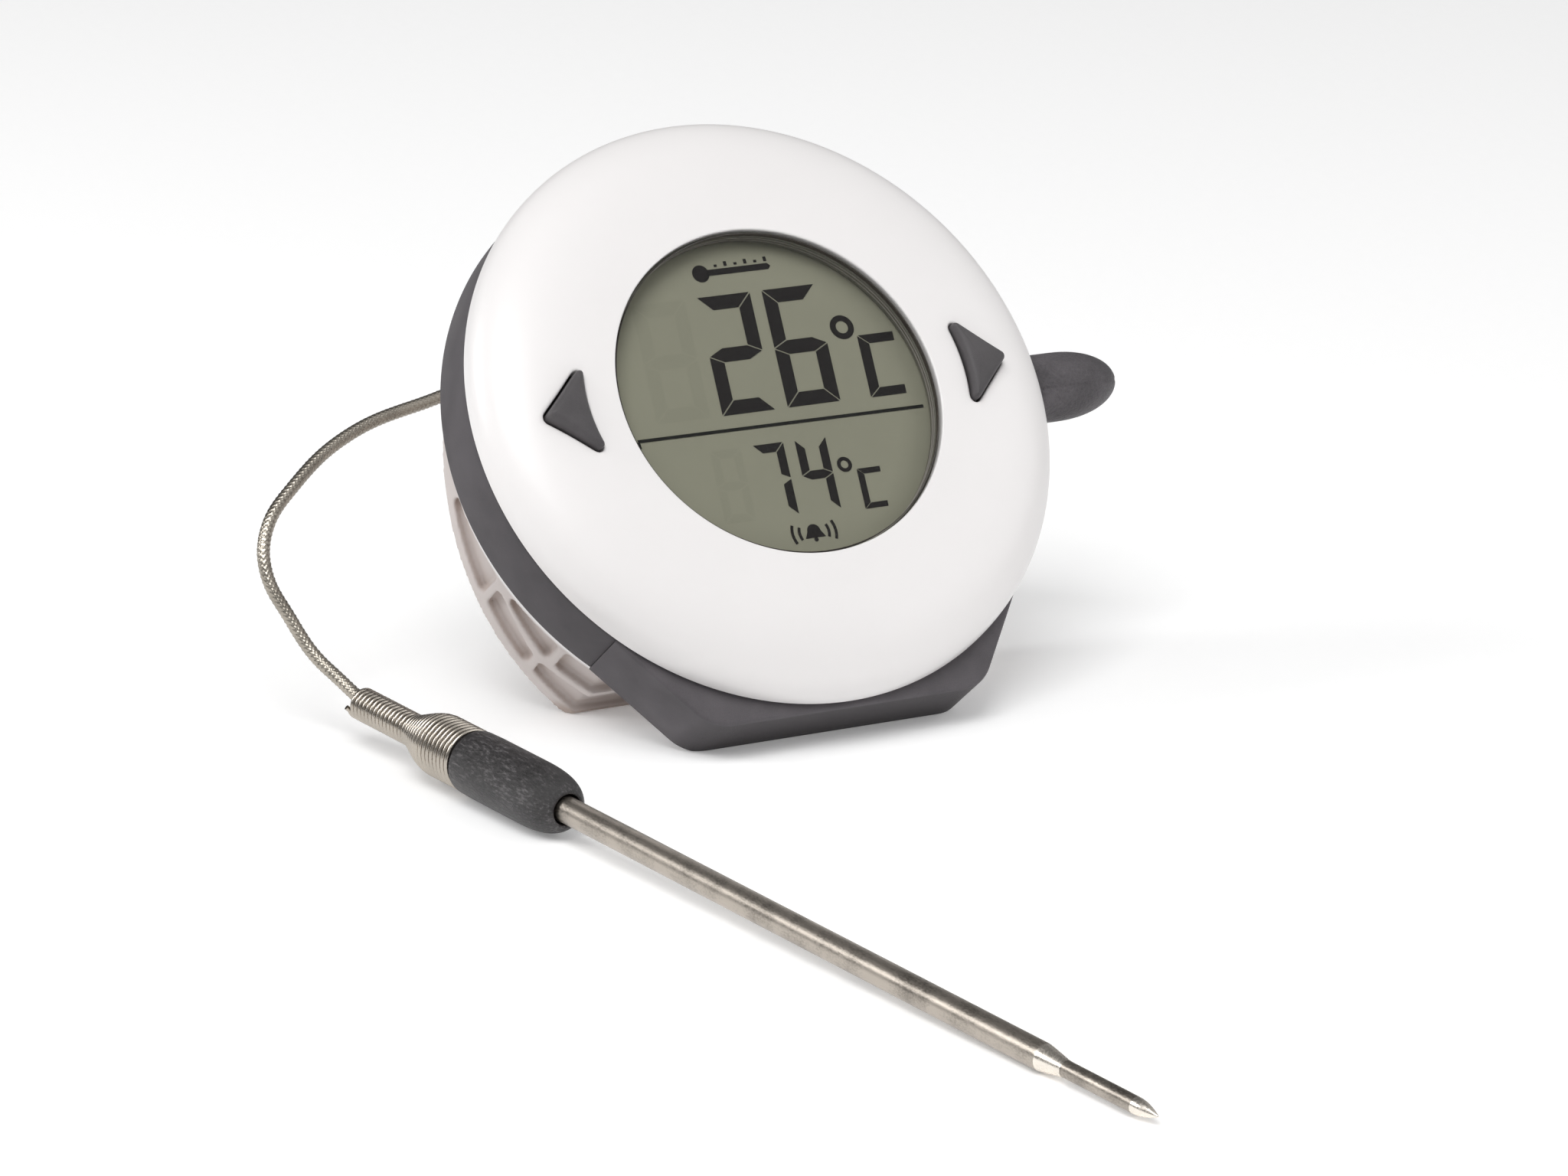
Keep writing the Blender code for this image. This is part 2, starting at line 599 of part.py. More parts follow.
def side_profile(grow, back_grow, top_back, ledge_back, front):
    """Housing seen from the side; a positive grow takes it inwards, for the hollow."""
    chord = -CHORD_DROP + grow
    shift = back_grow / math.cos(REAR_SLOPE)
    slope = math.tan(REAR_SLOPE)
    top_z = (REAR_DEPTH - shift - top_back) / slope
    outline = [(front, 45 * MM), (top_back, 45 * MM), (top_back, top_z)]
    if grow > 0.0:
        outline.append((REAR_DEPTH - shift - slope * chord, chord))
    else:
        rest = math.tan(LEAN)
        start = table_height(0.0)
        low_z = (start + rest * REAR_DEPTH) / (1.0 + rest * slope)
        outline.append((rear_plane(low_z), low_z))
        outline.append(((chord - start) / rest, chord))
    outline += [(ledge_back, chord), (ledge_back, -45 * MM), (front, -45 * MM)]
    return outline


def wall_point(along, depth, offset):
    """Point on the housing wall: along runs from the lower corner, negative up the round side."""
    radius = HOUSING_RADIUS + offset
    drop = CHORD_DROP + offset
    corner_x = math.sqrt(radius ** 2 - drop ** 2)
    flat = math.sqrt(HOUSING_RADIUS ** 2 - CHORD_DROP ** 2)
    if along > 0.0:
        return Vector((-corner_x * (1.0 - along / flat), depth, -drop))
    angle = math.atan2(-drop, -corner_x) + along / HOUSING_RADIUS
    return Vector((radius * math.cos(angle), depth, radius * math.sin(angle)))


def wall_pocket(corners, side):
    """Cutter for one pocket: a flat rounded outline, folded around the housing wall."""
    outline = rounded(corners, POCKET_CORNER, 2)
    bm = prism_bmesh(outline, -POCKET_DEPTH, 1.0 * MM, "XZ")
    low = min(point[0] for point in corners)
    high = max(point[0] for point in corners)
    fold = 4.0 * MM
    for index in range(math.ceil(low / fold), 1):
        if low < index * fold < high:
            bmesh.ops.bisect_plane(bm, geom=bm.verts[:] + bm.edges[:] + bm.faces[:],
                                   plane_co=(index * fold, 0.0, 0.0), plane_no=(1.0, 0.0, 0.0))
    for vert in bm.verts:
        along, offset, depth = vert.co
        vert.co = wall_point(along, depth, offset)
        vert.co.x *= side
    bmesh.ops.triangulate(bm, faces=bm.faces)
    return bm


def rear_limit(along):
    """Deepest place of a pocket: a margin in front of the sloping rear face."""
    return rear_plane(wall_point(along, 0.0, 0.0).z) - POCKET_REAR_MARGIN


def pocket_corners():
    """The lattice on one side, from the top of the round wall to the middle of the flat."""
    top = -31.0 * MM
    first_rib = -18.5 * MM
    rear_rib = -8.2 * MM
    front_rib = -6.6 * MM
    flat_rib = 12.0 * MM
    middle = 25.1 * MM
    half = POCKET_RIB / 2.0
    wedge = first_rib + 1.9 * MM
    low_limit = rear_limit(1 * MM)
    return [
        [(top, POCKET_FRONT), (first_rib - half, POCKET_FRONT),
         (first_rib - half, rear_limit(first_rib)), (top, rear_limit(top))],
        [(first_rib + half, POCKET_FRONT + 1.2 * MM), (rear_rib - half, MID_RIB_BACK),
         (rear_rib - half, rear_limit(rear_rib)), (first_rib + half, rear_limit(first_rib))],
        [(wedge, POCKET_FRONT), (front_rib - half, POCKET_FRONT),
         (front_rib - half, MID_RIB_FRONT), (wedge + 1.2 * MM, POCKET_FRONT + 1.5 * MM)],
        [(rear_rib + half, MID_RIB_BACK), (flat_rib - half, MID_RIB_BACK),
         (flat_rib - half, low_limit), (0.0, rear_limit(0.0)),
         (rear_rib + half, rear_limit(rear_rib))],
        [(front_rib + half, POCKET_FRONT), (flat_rib - half, POCKET_FRONT),
         (flat_rib - half, MID_RIB_FRONT), (front_rib + half, MID_RIB_FRONT)],
        [(flat_rib + half, MID_RIB_BACK), (middle, MID_RIB_BACK),
         (middle, low_limit), (flat_rib + half, low_limit)],
        [(flat_rib + half, POCKET_FRONT), (middle, POCKET_FRONT),
         (middle, MID_RIB_FRONT), (flat_rib + half, MID_RIB_FRONT)],
    ]


def make_rear_housing(mats, head, rear):
    """Wedge-shaped cup with pockets, battery bay, magnet seats, switch slots and screw bosses."""
    neck = [(0.0, BAND_FRONT), (HOUSING_NECK, BAND_FRONT), (HOUSING_NECK, HOUSING_SHOULDER),
            (HOUSING_RADIUS, HOUSING_SHOULDER), (HOUSING_RADIUS, 45 * MM), (0.0, 45 * MM)]
    housing = turned("rear_housing", neck, mats["housing"], head)
    shape = prism_bmesh(side_profile(0.0, 0.0, HOUSING_TOP_BACK, LEDGE_BACK, 5 * MM),
                        -45 * MM, 45 * MM, "YZ")
    combine(housing, to_object("housing_side", shape, None, head), 'INTERSECT')

    inner_neck = HOUSING_NECK - HOUSING_WALL
    inner_wall = HOUSING_RADIUS - HOUSING_WALL
    step = 14.5 * MM
    hollow = [(0.0, 5 * MM), (inner_neck, 5 * MM), (inner_neck, step), (inner_wall, step),
              (inner_wall, 45 * MM), (0.0, 45 * MM)]
    cavity = turned("housing_hollow", hollow, None, head)
    inside = prism_bmesh(side_profile(HOUSING_WALL, HOUSING_BACK_WALL, HOUSING_TOP_BACK - HOUSING_WALL,
                                      LEDGE_BACK - HOUSING_WALL, 3 * MM), -45 * MM, 45 * MM, "YZ")
    combine(cavity, to_object("hollow_side", inside, None, head), 'INTERSECT')
    combine(housing, cavity, 'DIFFERENCE')

    boss = [(0.0, BOSS_FRONT), (BOSS_RADIUS, BOSS_FRONT), (BOSS_RADIUS, 16.5 * MM), (0.0, 16.5 * MM)]
    bosses = [moved(turned_bmesh(boss, "Y", SMALL_STEPS, False), (x, 0.0, z)) for x, z in SCREW_PLACES]
    combine(housing, joined("housing_bosses", bosses, parent=head), 'UNION')

    within = -HOUSING_BACK_WALL / 2.0
    pad_back = -HOUSING_BACK_WALL - 1.6 * MM
    pad = [(0.0, pad_back), (8 * MM, pad_back), (8 * MM, within), (0.0, within)]
    inserts = [box_bmesh((-BAY_HALF - BAY_WALL, BAY_HALF + BAY_WALL), (-BAY_DEPTH - BAY_WALL, within),
                         (BAY_LOW - BAY_WALL, BAY_HIGH + BAY_WALL))]
    inserts += [moved(turned_bmesh(pad, "Y", SMALL_STEPS, False), (side * MAGNET_X, 0.0, REAR_ROW))
                for side in (1, -1)]
    combine(housing, joined("housing_inserts", inserts, parent=rear), 'UNION')

    bore = [(0.0, 5 * MM), (SCREW_HOLE, 5 * MM), (SCREW_HOLE, HEAD_SEAT), (SCREW_HEAD + GAP, HEAD_SEAT),
            (SCREW_HEAD + GAP, 20 * MM), (0.0, 20 * MM)]
    cuts = [moved(turned_bmesh(bore, "Y", TINY_STEPS, False), (x, 0.0, z)) for x, z in SCREW_PLACES]
    collar = SOCKET_COLLAR + 0.5 * MM
    port = [(0.0, 33 * MM), (collar, 33 * MM), (collar, 45 * MM), (0.0, 45 * MM)]
    cuts.append(moved(turned_bmesh(port, "X", SMALL_STEPS, False), (0.0, SOCKET_DEPTH, 0.0)))
    combine(housing, joined("housing_bores", cuts, parent=head), 'DIFFERENCE')

    recess = COVER_PLATE + GAP
    seat = [(0.0, -MAGNET_THICKNESS - 2.0 * GAP), (MAGNET_RADIUS + GAP, -MAGNET_THICKNESS - 2.0 * GAP),
            (MAGNET_RADIUS + GAP, 5 * MM), (0.0, 5 * MM)]
    rear_cuts = [moved(turned_bmesh(seat, "Y", SMALL_STEPS, False), (side * MAGNET_X, 0.0, REAR_ROW))
                 for side in (1, -1)]
    slot_half_x = (KNOB_WIDTH + KNOB_TRAVEL) / 2.0 + GAP
    slot_half_z = KNOB_HEIGHT / 2.0 + GAP
    for side in (1, -1):
        middle = side * KNOB_X
        rear_cuts.append(box_bmesh((middle - slot_half_x, middle + slot_half_x), (-6 * MM, 5 * MM),
                                   (REAR_ROW - slot_half_z, REAR_ROW + slot_half_z)))
    combine(housing, joined("rear_cuts", rear_cuts, parent=rear), 'DIFFERENCE')
    combine(housing, box("bay_hollow", (-BAY_HALF, BAY_HALF), (-BAY_DEPTH, 4 * MM),
                         (BAY_LOW, BAY_HIGH), None, rear), 'DIFFERENCE')
    combine(housing, box("cover_recess", (-COVER_HALF - GAP, COVER_HALF + GAP), (-recess, 5 * MM),
                         (COVER_LOW - GAP, COVER_HIGH + GAP), None, rear), 'DIFFERENCE')

    pockets = [wall_pocket(corners, side) for corners in pocket_corners() for side in (1, -1)]
    combine(housing, joined("wall_pockets", pockets, parent=head), 'DIFFERENCE')
    for index, (x, z) in enumerate(SCREW_PLACES, start=1):
        screw(f"housing_screw_{index}", mats, head, (x, HEAD_SEAT + GAP, z), 11.2 * MM)


def make_battery_bay(mats, rear):
    """Cover that tilts on its rounded top edge, the two cells and their contacts."""
    hinge_z = COVER_HIGH - COVER_PLATE / 2.0
    radius = COVER_PLATE / 2.0
    tip = arc(radius, 0.0, math.pi, 6)
    outline = tip + [(-radius, COVER_LOW - hinge_z), (radius, COVER_LOW - hinge_z)]
    plate = to_object("battery_cover", prism_bmesh(outline, -COVER_HALF, COVER_HALF, "YZ"),
                      mats["housing"], rear, (0.0, -radius, hinge_z))
    hook = (-radius - 2.6 * MM, -radius + 0.3 * MM)
    combine(plate, box("cover_catch", (-5 * MM, 5 * MM), hook,
                       (BAY_LOW + GAP - hinge_z, BAY_LOW + GAP + 1 * MM - hinge_z),
                       None, rear, (0.0, -radius, hinge_z)), 'UNION')

    plate_x = BAY_HALF - GAP
    nub_end = plate_x - CONTACT_THICKNESS - GAP
    body_end = nub_end - NUB_LENGTH
    tail = body_end - CELL_LENGTH
    for (name, z), side in zip(CELL_PLACES.items(), (1, -1)):
        profile = [(0.0, side * tail), (CELL_RADIUS - 0.4 * MM, side * tail),
                   (CELL_RADIUS, side * (tail + 0.4 * MM)), (CELL_RADIUS, side * (body_end - 0.4 * MM)),
                   (CELL_RADIUS - 0.4 * MM, side * body_end), (NUB_RADIUS, side * body_end),
                   (NUB_RADIUS, side * nub_end), (0.0, side * nub_end)]
        place = (0.0, CELL_DEPTH, z)
        turned(f"battery_cell_{name}", profile, mats["cell"], rear, "X", SMALL_STEPS, place)
        end = -side * (plate_x - CONTACT_THICKNESS - GAP)
        contact_spring(f"contact_spring_{name}", end, side * tail - side * GAP, mats, rear, place)
    for name, side in (("left", -1), ("right", 1)):
        outer = side * plate_x
        inner = side * (plate_x - CONTACT_THICKNESS)
        box(f"contact_plate_{name}", (min(outer, inner), max(outer, inner)),
            (CELL_DEPTH - 4 * MM, CELL_DEPTH + 4 * MM), (-23 * MM, -4 * MM), mats["nickel"], rear)


def contact_spring(name, start, end, mats, rear, place):
    """Conical coil between the contact plate and the flat end of a cell."""
    turns = 2
    per_turn = 12
    wide = 3.4 * MM
    narrow = 2.0 * MM
    count = turns * per_turn
    push = math.copysign(SPRING_WIRE, end - start)
    curve = bpy.data.curves.new(name, 'CURVE')
    curve.dimensions = '3D'
    curve.bevel_depth = SPRING_WIRE
    curve.bevel_resolution = 0
    curve.use_fill_caps = True
    spline = curve.splines.new('POLY')
    spline.points.add(count)
    for index, point in enumerate(spline.points):
        share = index / count
        radius = wide + (narrow - wide) * share
        angle = 2.0 * math.pi * turns * share
        along = start + push + (end - start - 2.0 * push) * share
        point.co = (along, radius * math.cos(angle), radius * math.sin(angle), 1.0)
    curve.materials.append(mats["nickel"])
    coil = bpy.data.objects.new(name, curve)
    coil.parent = rear
    coil.location = place
    bpy.context.collection.objects.link(coil)


def make_rear_fittings(mats, rear):
    """Magnets, and the two slide switches with their knobs."""
    face = -0.1 * MM
    disc = [(0.0, face - MAGNET_THICKNESS), (MAGNET_RADIUS, face - MAGNET_THICKNESS),
            (MAGNET_RADIUS, face - 0.2 * MM), (MAGNET_RADIUS - 0.2 * MM, face), (0.0, face)]
    for name, side in (("left", -1), ("right", 1)):
        turned(f"magnet_{name}", disc, mats["nickel"], rear, steps=SMALL_STEPS,
               place=(side * MAGNET_X, 0.0, REAR_ROW))
    top = -HOUSING_BACK_WALL - GAP
    bottom = top - 4 * MM
    knob_low = top - 1.3 * MM
    travel_half = (KNOB_WIDTH + KNOB_TRAVEL) / 2.0 + GAP
    height_half = KNOB_HEIGHT / 2.0 + GAP
    for name, side in (("power", 1), ("unit", -1)):
        middle = (side * KNOB_X, 0.0, REAR_ROW)
        body = box(f"{name}_switch_body", (-4.8 * MM, 4.8 * MM), (bottom, top), (-2.6 * MM, 2.6 * MM),
                   mats["chip"], rear, middle)
        groove = box(f"{name}_switch_groove", (-travel_half, travel_half),
                     (knob_low - GAP, top + 1 * MM), (-height_half, height_half), None, rear, middle)
        combine(body, groove, 'DIFFERENCE')
        knob_x = side * KNOB_X - KNOB_TRAVEL / 2.0
        half = KNOB_WIDTH / 2.0
        box(f"{name}_switch_knob", (-half, half), (knob_low, -0.3 * MM),
            (-KNOB_HEIGHT / 2.0, KNOB_HEIGHT / 2.0), mats["dark"], rear, (knob_x, 0.0, REAR_ROW))


def make_socket(mats, head):
    """Probe socket on the board, with its collar in the side of the housing."""
    inner_end = 24.5 * MM
    body_end = 34.9 * MM
    half = 2.85 * MM
    body = box("probe_socket", (inner_end, body_end), (-half, half + 0.1 * MM), (-half, half),
               mats["chip"], head, (0.0, SOCKET_DEPTH, 0.0))
    collar = [(0.0, body_end - 1 * MM), (SOCKET_COLLAR, body_end - 1 * MM),
              (SOCKET_COLLAR, SOCKET_MOUTH), (0.0, SOCKET_MOUTH)]
    bore = [(0.0, inner_end + 1.5 * MM), (SOCKET_BORE, inner_end + 1.5 * MM),
            (SOCKET_BORE, SOCKET_MOUTH + 1 * MM), (0.0, SOCKET_MOUTH + 1 * MM)]
    place = (0.0, SOCKET_DEPTH, 0.0)
    combine(body, turned("socket_collar", collar, None, head, "X", SMALL_STEPS, place), 'UNION')
    combine(body, turned("socket_bore", bore, None, head, "X", TINY_STEPS, place), 'DIFFERENCE')


def boot_profile():
    """Bullet-shaped boot: a flat base, nearly straight sides and an elliptical nose."""
    rings = 9
    straight = 5.5 * MM
    nose = BOOT_LENGTH - straight
    points = [(0.0, 0.0), (BOOT_RADIUS - 0.7 * MM, 0.0), (BOOT_RADIUS - 0.2 * MM, 0.6 * MM),
              (BOOT_RADIUS, 1.8 * MM)]
    for ring in range(rings + 1):
        share = math.sin(0.5 * math.pi * ring / rings)
        radius = BOOT_RADIUS * (1.0 - share ** 2.2) ** 0.5
        points.append((radius, straight + nose * share))
    return points


def make_plug(mats, head):
    """Right-angle plug: contact pin, moulded boot and the cable leg on its side."""
    place = Vector((0.0, SOCKET_DEPTH, 0.0))
    boot = turned("plug_boot", boot_profile(), mats["rubber"], head, "X", SMALL_STEPS,
                  place + Vector((BOOT_BASE, 0.0, 0.0)))
    leg = [(0.0, 1 * MM), (2.6 * MM, 1 * MM), (2.6 * MM, 6 * MM), (1.9 * MM, LEG_LENGTH), (0.0, LEG_LENGTH)]
    leg_bore = [(0.0, LEG_LENGTH - 3 * MM), (CABLE_RADIUS + GAP, LEG_LENGTH - 3 * MM),
                (CABLE_RADIUS + GAP, LEG_LENGTH + 1 * MM), (0.0, LEG_LENGTH + 1 * MM)]
    aim = Vector((0.0, 1.0, 0.0)).rotation_difference(LEG_DIRECTION).to_euler()
    leg_frame = empty("leg_frame", place + Vector((LEG_X, 0.0, 0.0)), aim, head)
    combine(boot, turned("boot_leg", leg, None, leg_frame, steps=SMALL_STEPS), 'UNION')
    combine(boot, turned("boot_leg_bore", leg_bore, None, leg_frame, steps=TINY_STEPS), 'DIFFERENCE')
    pin_seat = 4.0 * MM
    seat = [(0.0, -1 * MM), (PIN_RADIUS + GAP, -1 * MM), (PIN_RADIUS + GAP, pin_seat), (0.0, pin_seat)]
    combine(boot, turned("pin_seat", seat, None, head, "X", TINY_STEPS,
                         place + Vector((BOOT_BASE, 0.0, 0.0))), 'DIFFERENCE')

    start = 26.8 * MM
    ring = 0.2 * MM
    pin = [(0.0, start), (0.5 * MM, start), (PIN_RADIUS * 0.9, start + 0.9 * MM),
           (PIN_RADIUS * 0.62, start + 2.0 * MM), (PIN_RADIUS, start + 2.8 * MM)]
    for groove in (5.2 * MM, 8.0 * MM):
        at = start + groove
        pin += [(PIN_RADIUS, at), (PIN_RADIUS - ring, at), (PIN_RADIUS - ring, at + 0.5 * MM),
                (PIN_RADIUS, at + 0.5 * MM)]
    pin_end = BOOT_BASE + pin_seat - GAP
    pin += [(PIN_RADIUS, pin_end), (0.0, pin_end)]
    turned("plug_pin", pin, mats["gold"], head, "X", SMALL_STEPS, place)
    return leg_frame


def make_cable(mats, leg_frame, probe):
    """Braided cable through the points of its route, from the boot's leg into the spring."""
    bpy.context.view_layer.update()
    leg = leg_frame.matrix_world
    spring = probe.matrix_world
    inside = LEG_LENGTH - 2.4 * MM
    route = [leg @ Vector((0.0, inside, 0.0)), leg @ Vector((0.0, LEG_LENGTH + 1.5 * MM, 0.0))]
    route += [Vector(point) * MM for point in CABLE_ROUTE]
    route += [spring @ Vector((0.5 * MM, 0.0, 0.4 * MM)), spring @ Vector((4.5 * MM, 0.0, 0.0))]
    curve = bpy.data.curves.new("probe_cable", 'CURVE')
    curve.dimensions = '3D'
    curve.bevel_depth = CABLE_RADIUS
    curve.bevel_resolution = 1
    curve.use_fill_caps = True
    curve.resolution_u = 4
    spline = curve.splines.new('BEZIER')
    spline.bezier_points.add(len(route) - 1)
    for point, place in zip(spline.bezier_points, route):
        point.co = place
        point.handle_left_type = 'AUTO'
        point.handle_right_type = 'AUTO'
    curve.materials.append(mats["braid"])
    cable = bpy.data.objects.new("probe_cable", curve)
    bpy.context.collection.objects.link(cable)


def handle_profile():
    """Handle: stub inside the spring, straight grip, rounded nose, and bores for cable and tube."""
    stub = SPRING_WIDE - SPRING_WALL - GAP
    start = SPRING_END + GAP
    nose_start = HANDLE_END - HANDLE_NOSE
    tube_hole = TUBE_RADIUS + GAP
    cable_hole = CABLE_RADIUS + GAP
    points = [(cable_hole, SPRING_FLARE_END + 1.2 * MM), (stub, SPRING_FLARE_END + 1.2 * MM),
              (stub, start), (HANDLE_RADIUS - 0.1 * MM, start), (HANDLE_RADIUS, start + 3 * MM)]
    rings = 8
    mouth = (tube_hole + 0.3 * MM) / HANDLE_RADIUS
    reach = (1.0 - mouth ** HANDLE_BLUNT) ** (1.0 / HANDLE_BLUNT)
    for ring in range(rings + 1):
        share = reach * math.sin(0.5 * math.pi * ring / rings)
        points.append((HANDLE_RADIUS * (1.0 - share ** HANDLE_BLUNT) ** (1.0 / HANDLE_BLUNT),
                       nose_start + HANDLE_NOSE * share / reach))
    return points + [(tube_hole, HANDLE_END), (tube_hole, TUBE_START - GAP),
                     (cable_hole, TUBE_START - GAP)]


def make_probe(mats, probe):
    """Strain-relief spring, handle, stepped tube and the sensing element inside it."""
    wall = SPRING_WALL
    sleeve = [(SPRING_SLIM, 0.0), (SPRING_SLIM, SPRING_SLIM_END)]
    for step in range(1, 4):
        share = step / 4.0
        blend = 0.5 - 0.5 * math.cos(math.pi * share)
        sleeve.append((SPRING_SLIM + (SPRING_WIDE - SPRING_SLIM) * blend,
                       SPRING_SLIM_END + (SPRING_FLARE_END - SPRING_SLIM_END) * share))
    sleeve += [(SPRING_WIDE, SPRING_FLARE_END), (SPRING_WIDE, SPRING_END)]
    inner = [(radius - wall, along) for radius, along in sleeve[::-1]]
    turned("strain_spring", sleeve + inner, mats["steel"], probe, "X", SMALL_STEPS)
    turned("probe_handle", handle_profile(), mats["handle"], probe, "X", SMALL_STEPS)

    slim_bore = 0.55 * MM
    tube = [(0.0, TIP_END), (0.1 * MM, TIP_END - 0.1 * MM), (TIP_RADIUS, TIP_START),
            (TIP_RADIUS, SHOULDER_END), (TUBE_RADIUS, SHOULDER_START), (TUBE_RADIUS, TUBE_START),
            (TUBE_BORE, TUBE_START), (TUBE_BORE, SHOULDER_START - 3 * MM),
            (slim_bore, SHOULDER_START - 1 * MM), (slim_bore, TIP_START - 1 * MM),
            (0.0, TIP_START - 1 * MM)]
    turned("probe_tube", tube, mats["steel"], probe, "X", SMALL_STEPS)

    lead = 0.85 * MM
    bead = 0.25 * MM
    element = [(0.0, TUBE_START - 2 * MM), (lead, TUBE_START - 2 * MM), (lead, SHOULDER_START - 4 * MM),
               (bead, SHOULDER_START - 3.4 * MM), (bead, TIP_START - 2 * MM), (0.0, TIP_START - 2 * MM)]
    turned("sensor_element", element, mats["brass"], probe, "X", TINY_STEPS)


def rest_point():
    """Middle of the flat under the foot, in the head frame turned upright."""
    low_y = (WINDOW_HEIGHT - FOOT_DROP * math.cos(LEAN)) / math.sin(LEAN)
    high_z = table_height(BAND_BACK)
    middle_y = (low_y + BAND_BACK) / 2.0
    middle_z = (-FOOT_DROP + high_z) / 2.0
    return middle_z * math.sin(LEAN) + middle_y * math.cos(LEAN)


def main():
    """Build the whole thermometer."""
    clear_scene()
    mats = make_materials()
    head = empty("head_frame", (0.0, -rest_point(), WINDOW_HEIGHT), (-LEAN, 0.0, 0.0))
    rear = empty("rear_frame", (0.0, REAR_DEPTH, 0.0), (REAR_SLOPE, 0.0, 0.0), head)
    probe = empty("probe_frame", PROBE_BACK, Euler((0.0, PROBE_PITCH, PROBE_HEADING), 'XYZ'))
    make_front_cover(mats, head)
    make_display(mats, head)
    make_board(mats, head)
    make_band_and_foot(mats, head)
    make_rear_housing(mats, head, rear)
    make_battery_bay(mats, rear)
    make_rear_fittings(mats, rear)
    make_socket(mats, head)
    leg_frame = make_plug(mats, head)
    make_probe(mats, probe)
    make_cable(mats, leg_frame, probe)


main()
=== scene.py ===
import json
import math

import bmesh
import bpy
import numpy as np
from mathutils import Euler, Matrix, Vector


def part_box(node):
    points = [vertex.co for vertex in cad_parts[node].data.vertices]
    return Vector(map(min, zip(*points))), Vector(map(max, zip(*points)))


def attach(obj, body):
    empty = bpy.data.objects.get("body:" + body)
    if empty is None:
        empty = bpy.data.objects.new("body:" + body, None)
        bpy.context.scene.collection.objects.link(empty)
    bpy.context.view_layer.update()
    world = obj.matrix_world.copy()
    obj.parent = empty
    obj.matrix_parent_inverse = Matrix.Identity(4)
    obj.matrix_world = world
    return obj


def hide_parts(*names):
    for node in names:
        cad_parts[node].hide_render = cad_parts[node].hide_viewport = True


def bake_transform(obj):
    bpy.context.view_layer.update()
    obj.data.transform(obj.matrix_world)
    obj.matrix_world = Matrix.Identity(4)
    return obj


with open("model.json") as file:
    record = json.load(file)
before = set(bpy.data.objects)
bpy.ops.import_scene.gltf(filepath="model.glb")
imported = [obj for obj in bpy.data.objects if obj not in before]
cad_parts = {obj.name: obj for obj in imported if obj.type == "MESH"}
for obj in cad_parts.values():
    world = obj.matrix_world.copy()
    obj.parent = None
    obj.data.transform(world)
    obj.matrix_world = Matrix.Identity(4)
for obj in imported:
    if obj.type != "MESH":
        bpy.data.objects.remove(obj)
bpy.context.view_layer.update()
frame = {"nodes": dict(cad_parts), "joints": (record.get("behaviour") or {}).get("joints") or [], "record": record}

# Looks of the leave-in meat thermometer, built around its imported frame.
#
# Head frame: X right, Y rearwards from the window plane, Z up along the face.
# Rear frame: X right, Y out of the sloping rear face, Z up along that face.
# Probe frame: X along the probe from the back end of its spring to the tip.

MM = 0.001
GAP = 0.3 * MM
# Reach of cutters that pass right through the head
OUTSIDE = 45 * MM

JOINTS = {joint["name"]: joint for joint in frame["joints"]}
MOUNTS = {mount["name"]: mount for mount in frame["record"]["mounts"]}

# Tessellation of the finished meshes
BIG_STEPS = 240
MID_STEPS = 96
SMALL_STEPS = 48

# Front cover, window and display
WINDOW_RADIUS = 22.66 * MM
COVER_DEPTH = 7.3 * MM
COVER_WALL = 1.9 * MM
COVER_INNER_RADIUS = 38.6 * MM
DOME_POWER = 2.5
SEAT_RADIUS = 24.9 * MM
SEAT_DEPTH = 1.3 * MM
WINDOW_LIP = 0.22 * MM
LENS_MIDDLE = 0.725 * MM
LENS_FRONT = 0.15 * MM
LENS_BEVEL = 0.25 * MM
BEZEL_RADIUS = 24.6 * MM
BEZEL_INNER = 22.35 * MM
BEZEL_BACK = 3.2 * MM
# Depths of two pale rings on the bezel's inner wall: painted highlights for the light that the lens edge refracts
HIGHLIGHT_LINE_LEVELS = (1.95 * MM, 2.5 * MM)
LCD_FRONT = 3.5 * MM
LCD_BACK = 5.9 * MM
LCD_RADIUS = 23.2 * MM
LCD_REAR_RADIUS = 24.3 * MM

# Buttons
BUTTON_INNER_X = 26.45 * MM
BUTTON_APEX_X = 33.45 * MM
BUTTON_HALF = 6.3 * MM
BUTTON_RAISE = 0.5 * MM
BUTTON_CORNER = 0.75 * MM
BUTTON_HOLLOW = 1.0 * MM
BUTTON_TOP = -1.15 * MM
BUTTON_SPACING = 0.45 * MM
BUTTON_CUT = 4.5 * MM
BUTTON_FLANGE_FRONT = 3.6 * MM
BUTTON_BACK = 4.1 * MM

# Lip of a button opening, in millimetres: growth of the outline, depth below the dome
BUTTON_LIP = ((0.5, -1.4), (0.5, -0.03), (0.28, 0.0), (0.13, 0.05), (0.04, 0.12), (0.0, 0.24))
# Rounded top edge of a cap, in millimetres: growth of the outline, depth below the top
BUTTON_EDGE = ((0.0, 0.8), (-0.03, 0.6), (-0.12, 0.4), (-0.27, 0.22), (-0.42, 0.12), (-0.6, 0.04))
# Crowned middle of a cap: scale of the last ring, depth below the top in millimetres
BUTTON_CROWN = ((0.85, 0.0), (0.6, -0.05), (0.3, -0.08), (0.02, -0.09))

# Rubber band and foot
BAND_RADIUS = 40.16 * MM
BAND_INNER = 37.8 * MM
BAND_FRONT = 7.6 * MM
BAND_BACK = 17.11 * MM
FOOT_DROP = 41.14 * MM
FOOT_CORNER = 6.0 * MM
FOOT_SIDE_ANGLE = math.radians(-36.2)
SEAM_ANGLE = math.radians(-43.4)
SEAM_GAP = 0.06 * MM

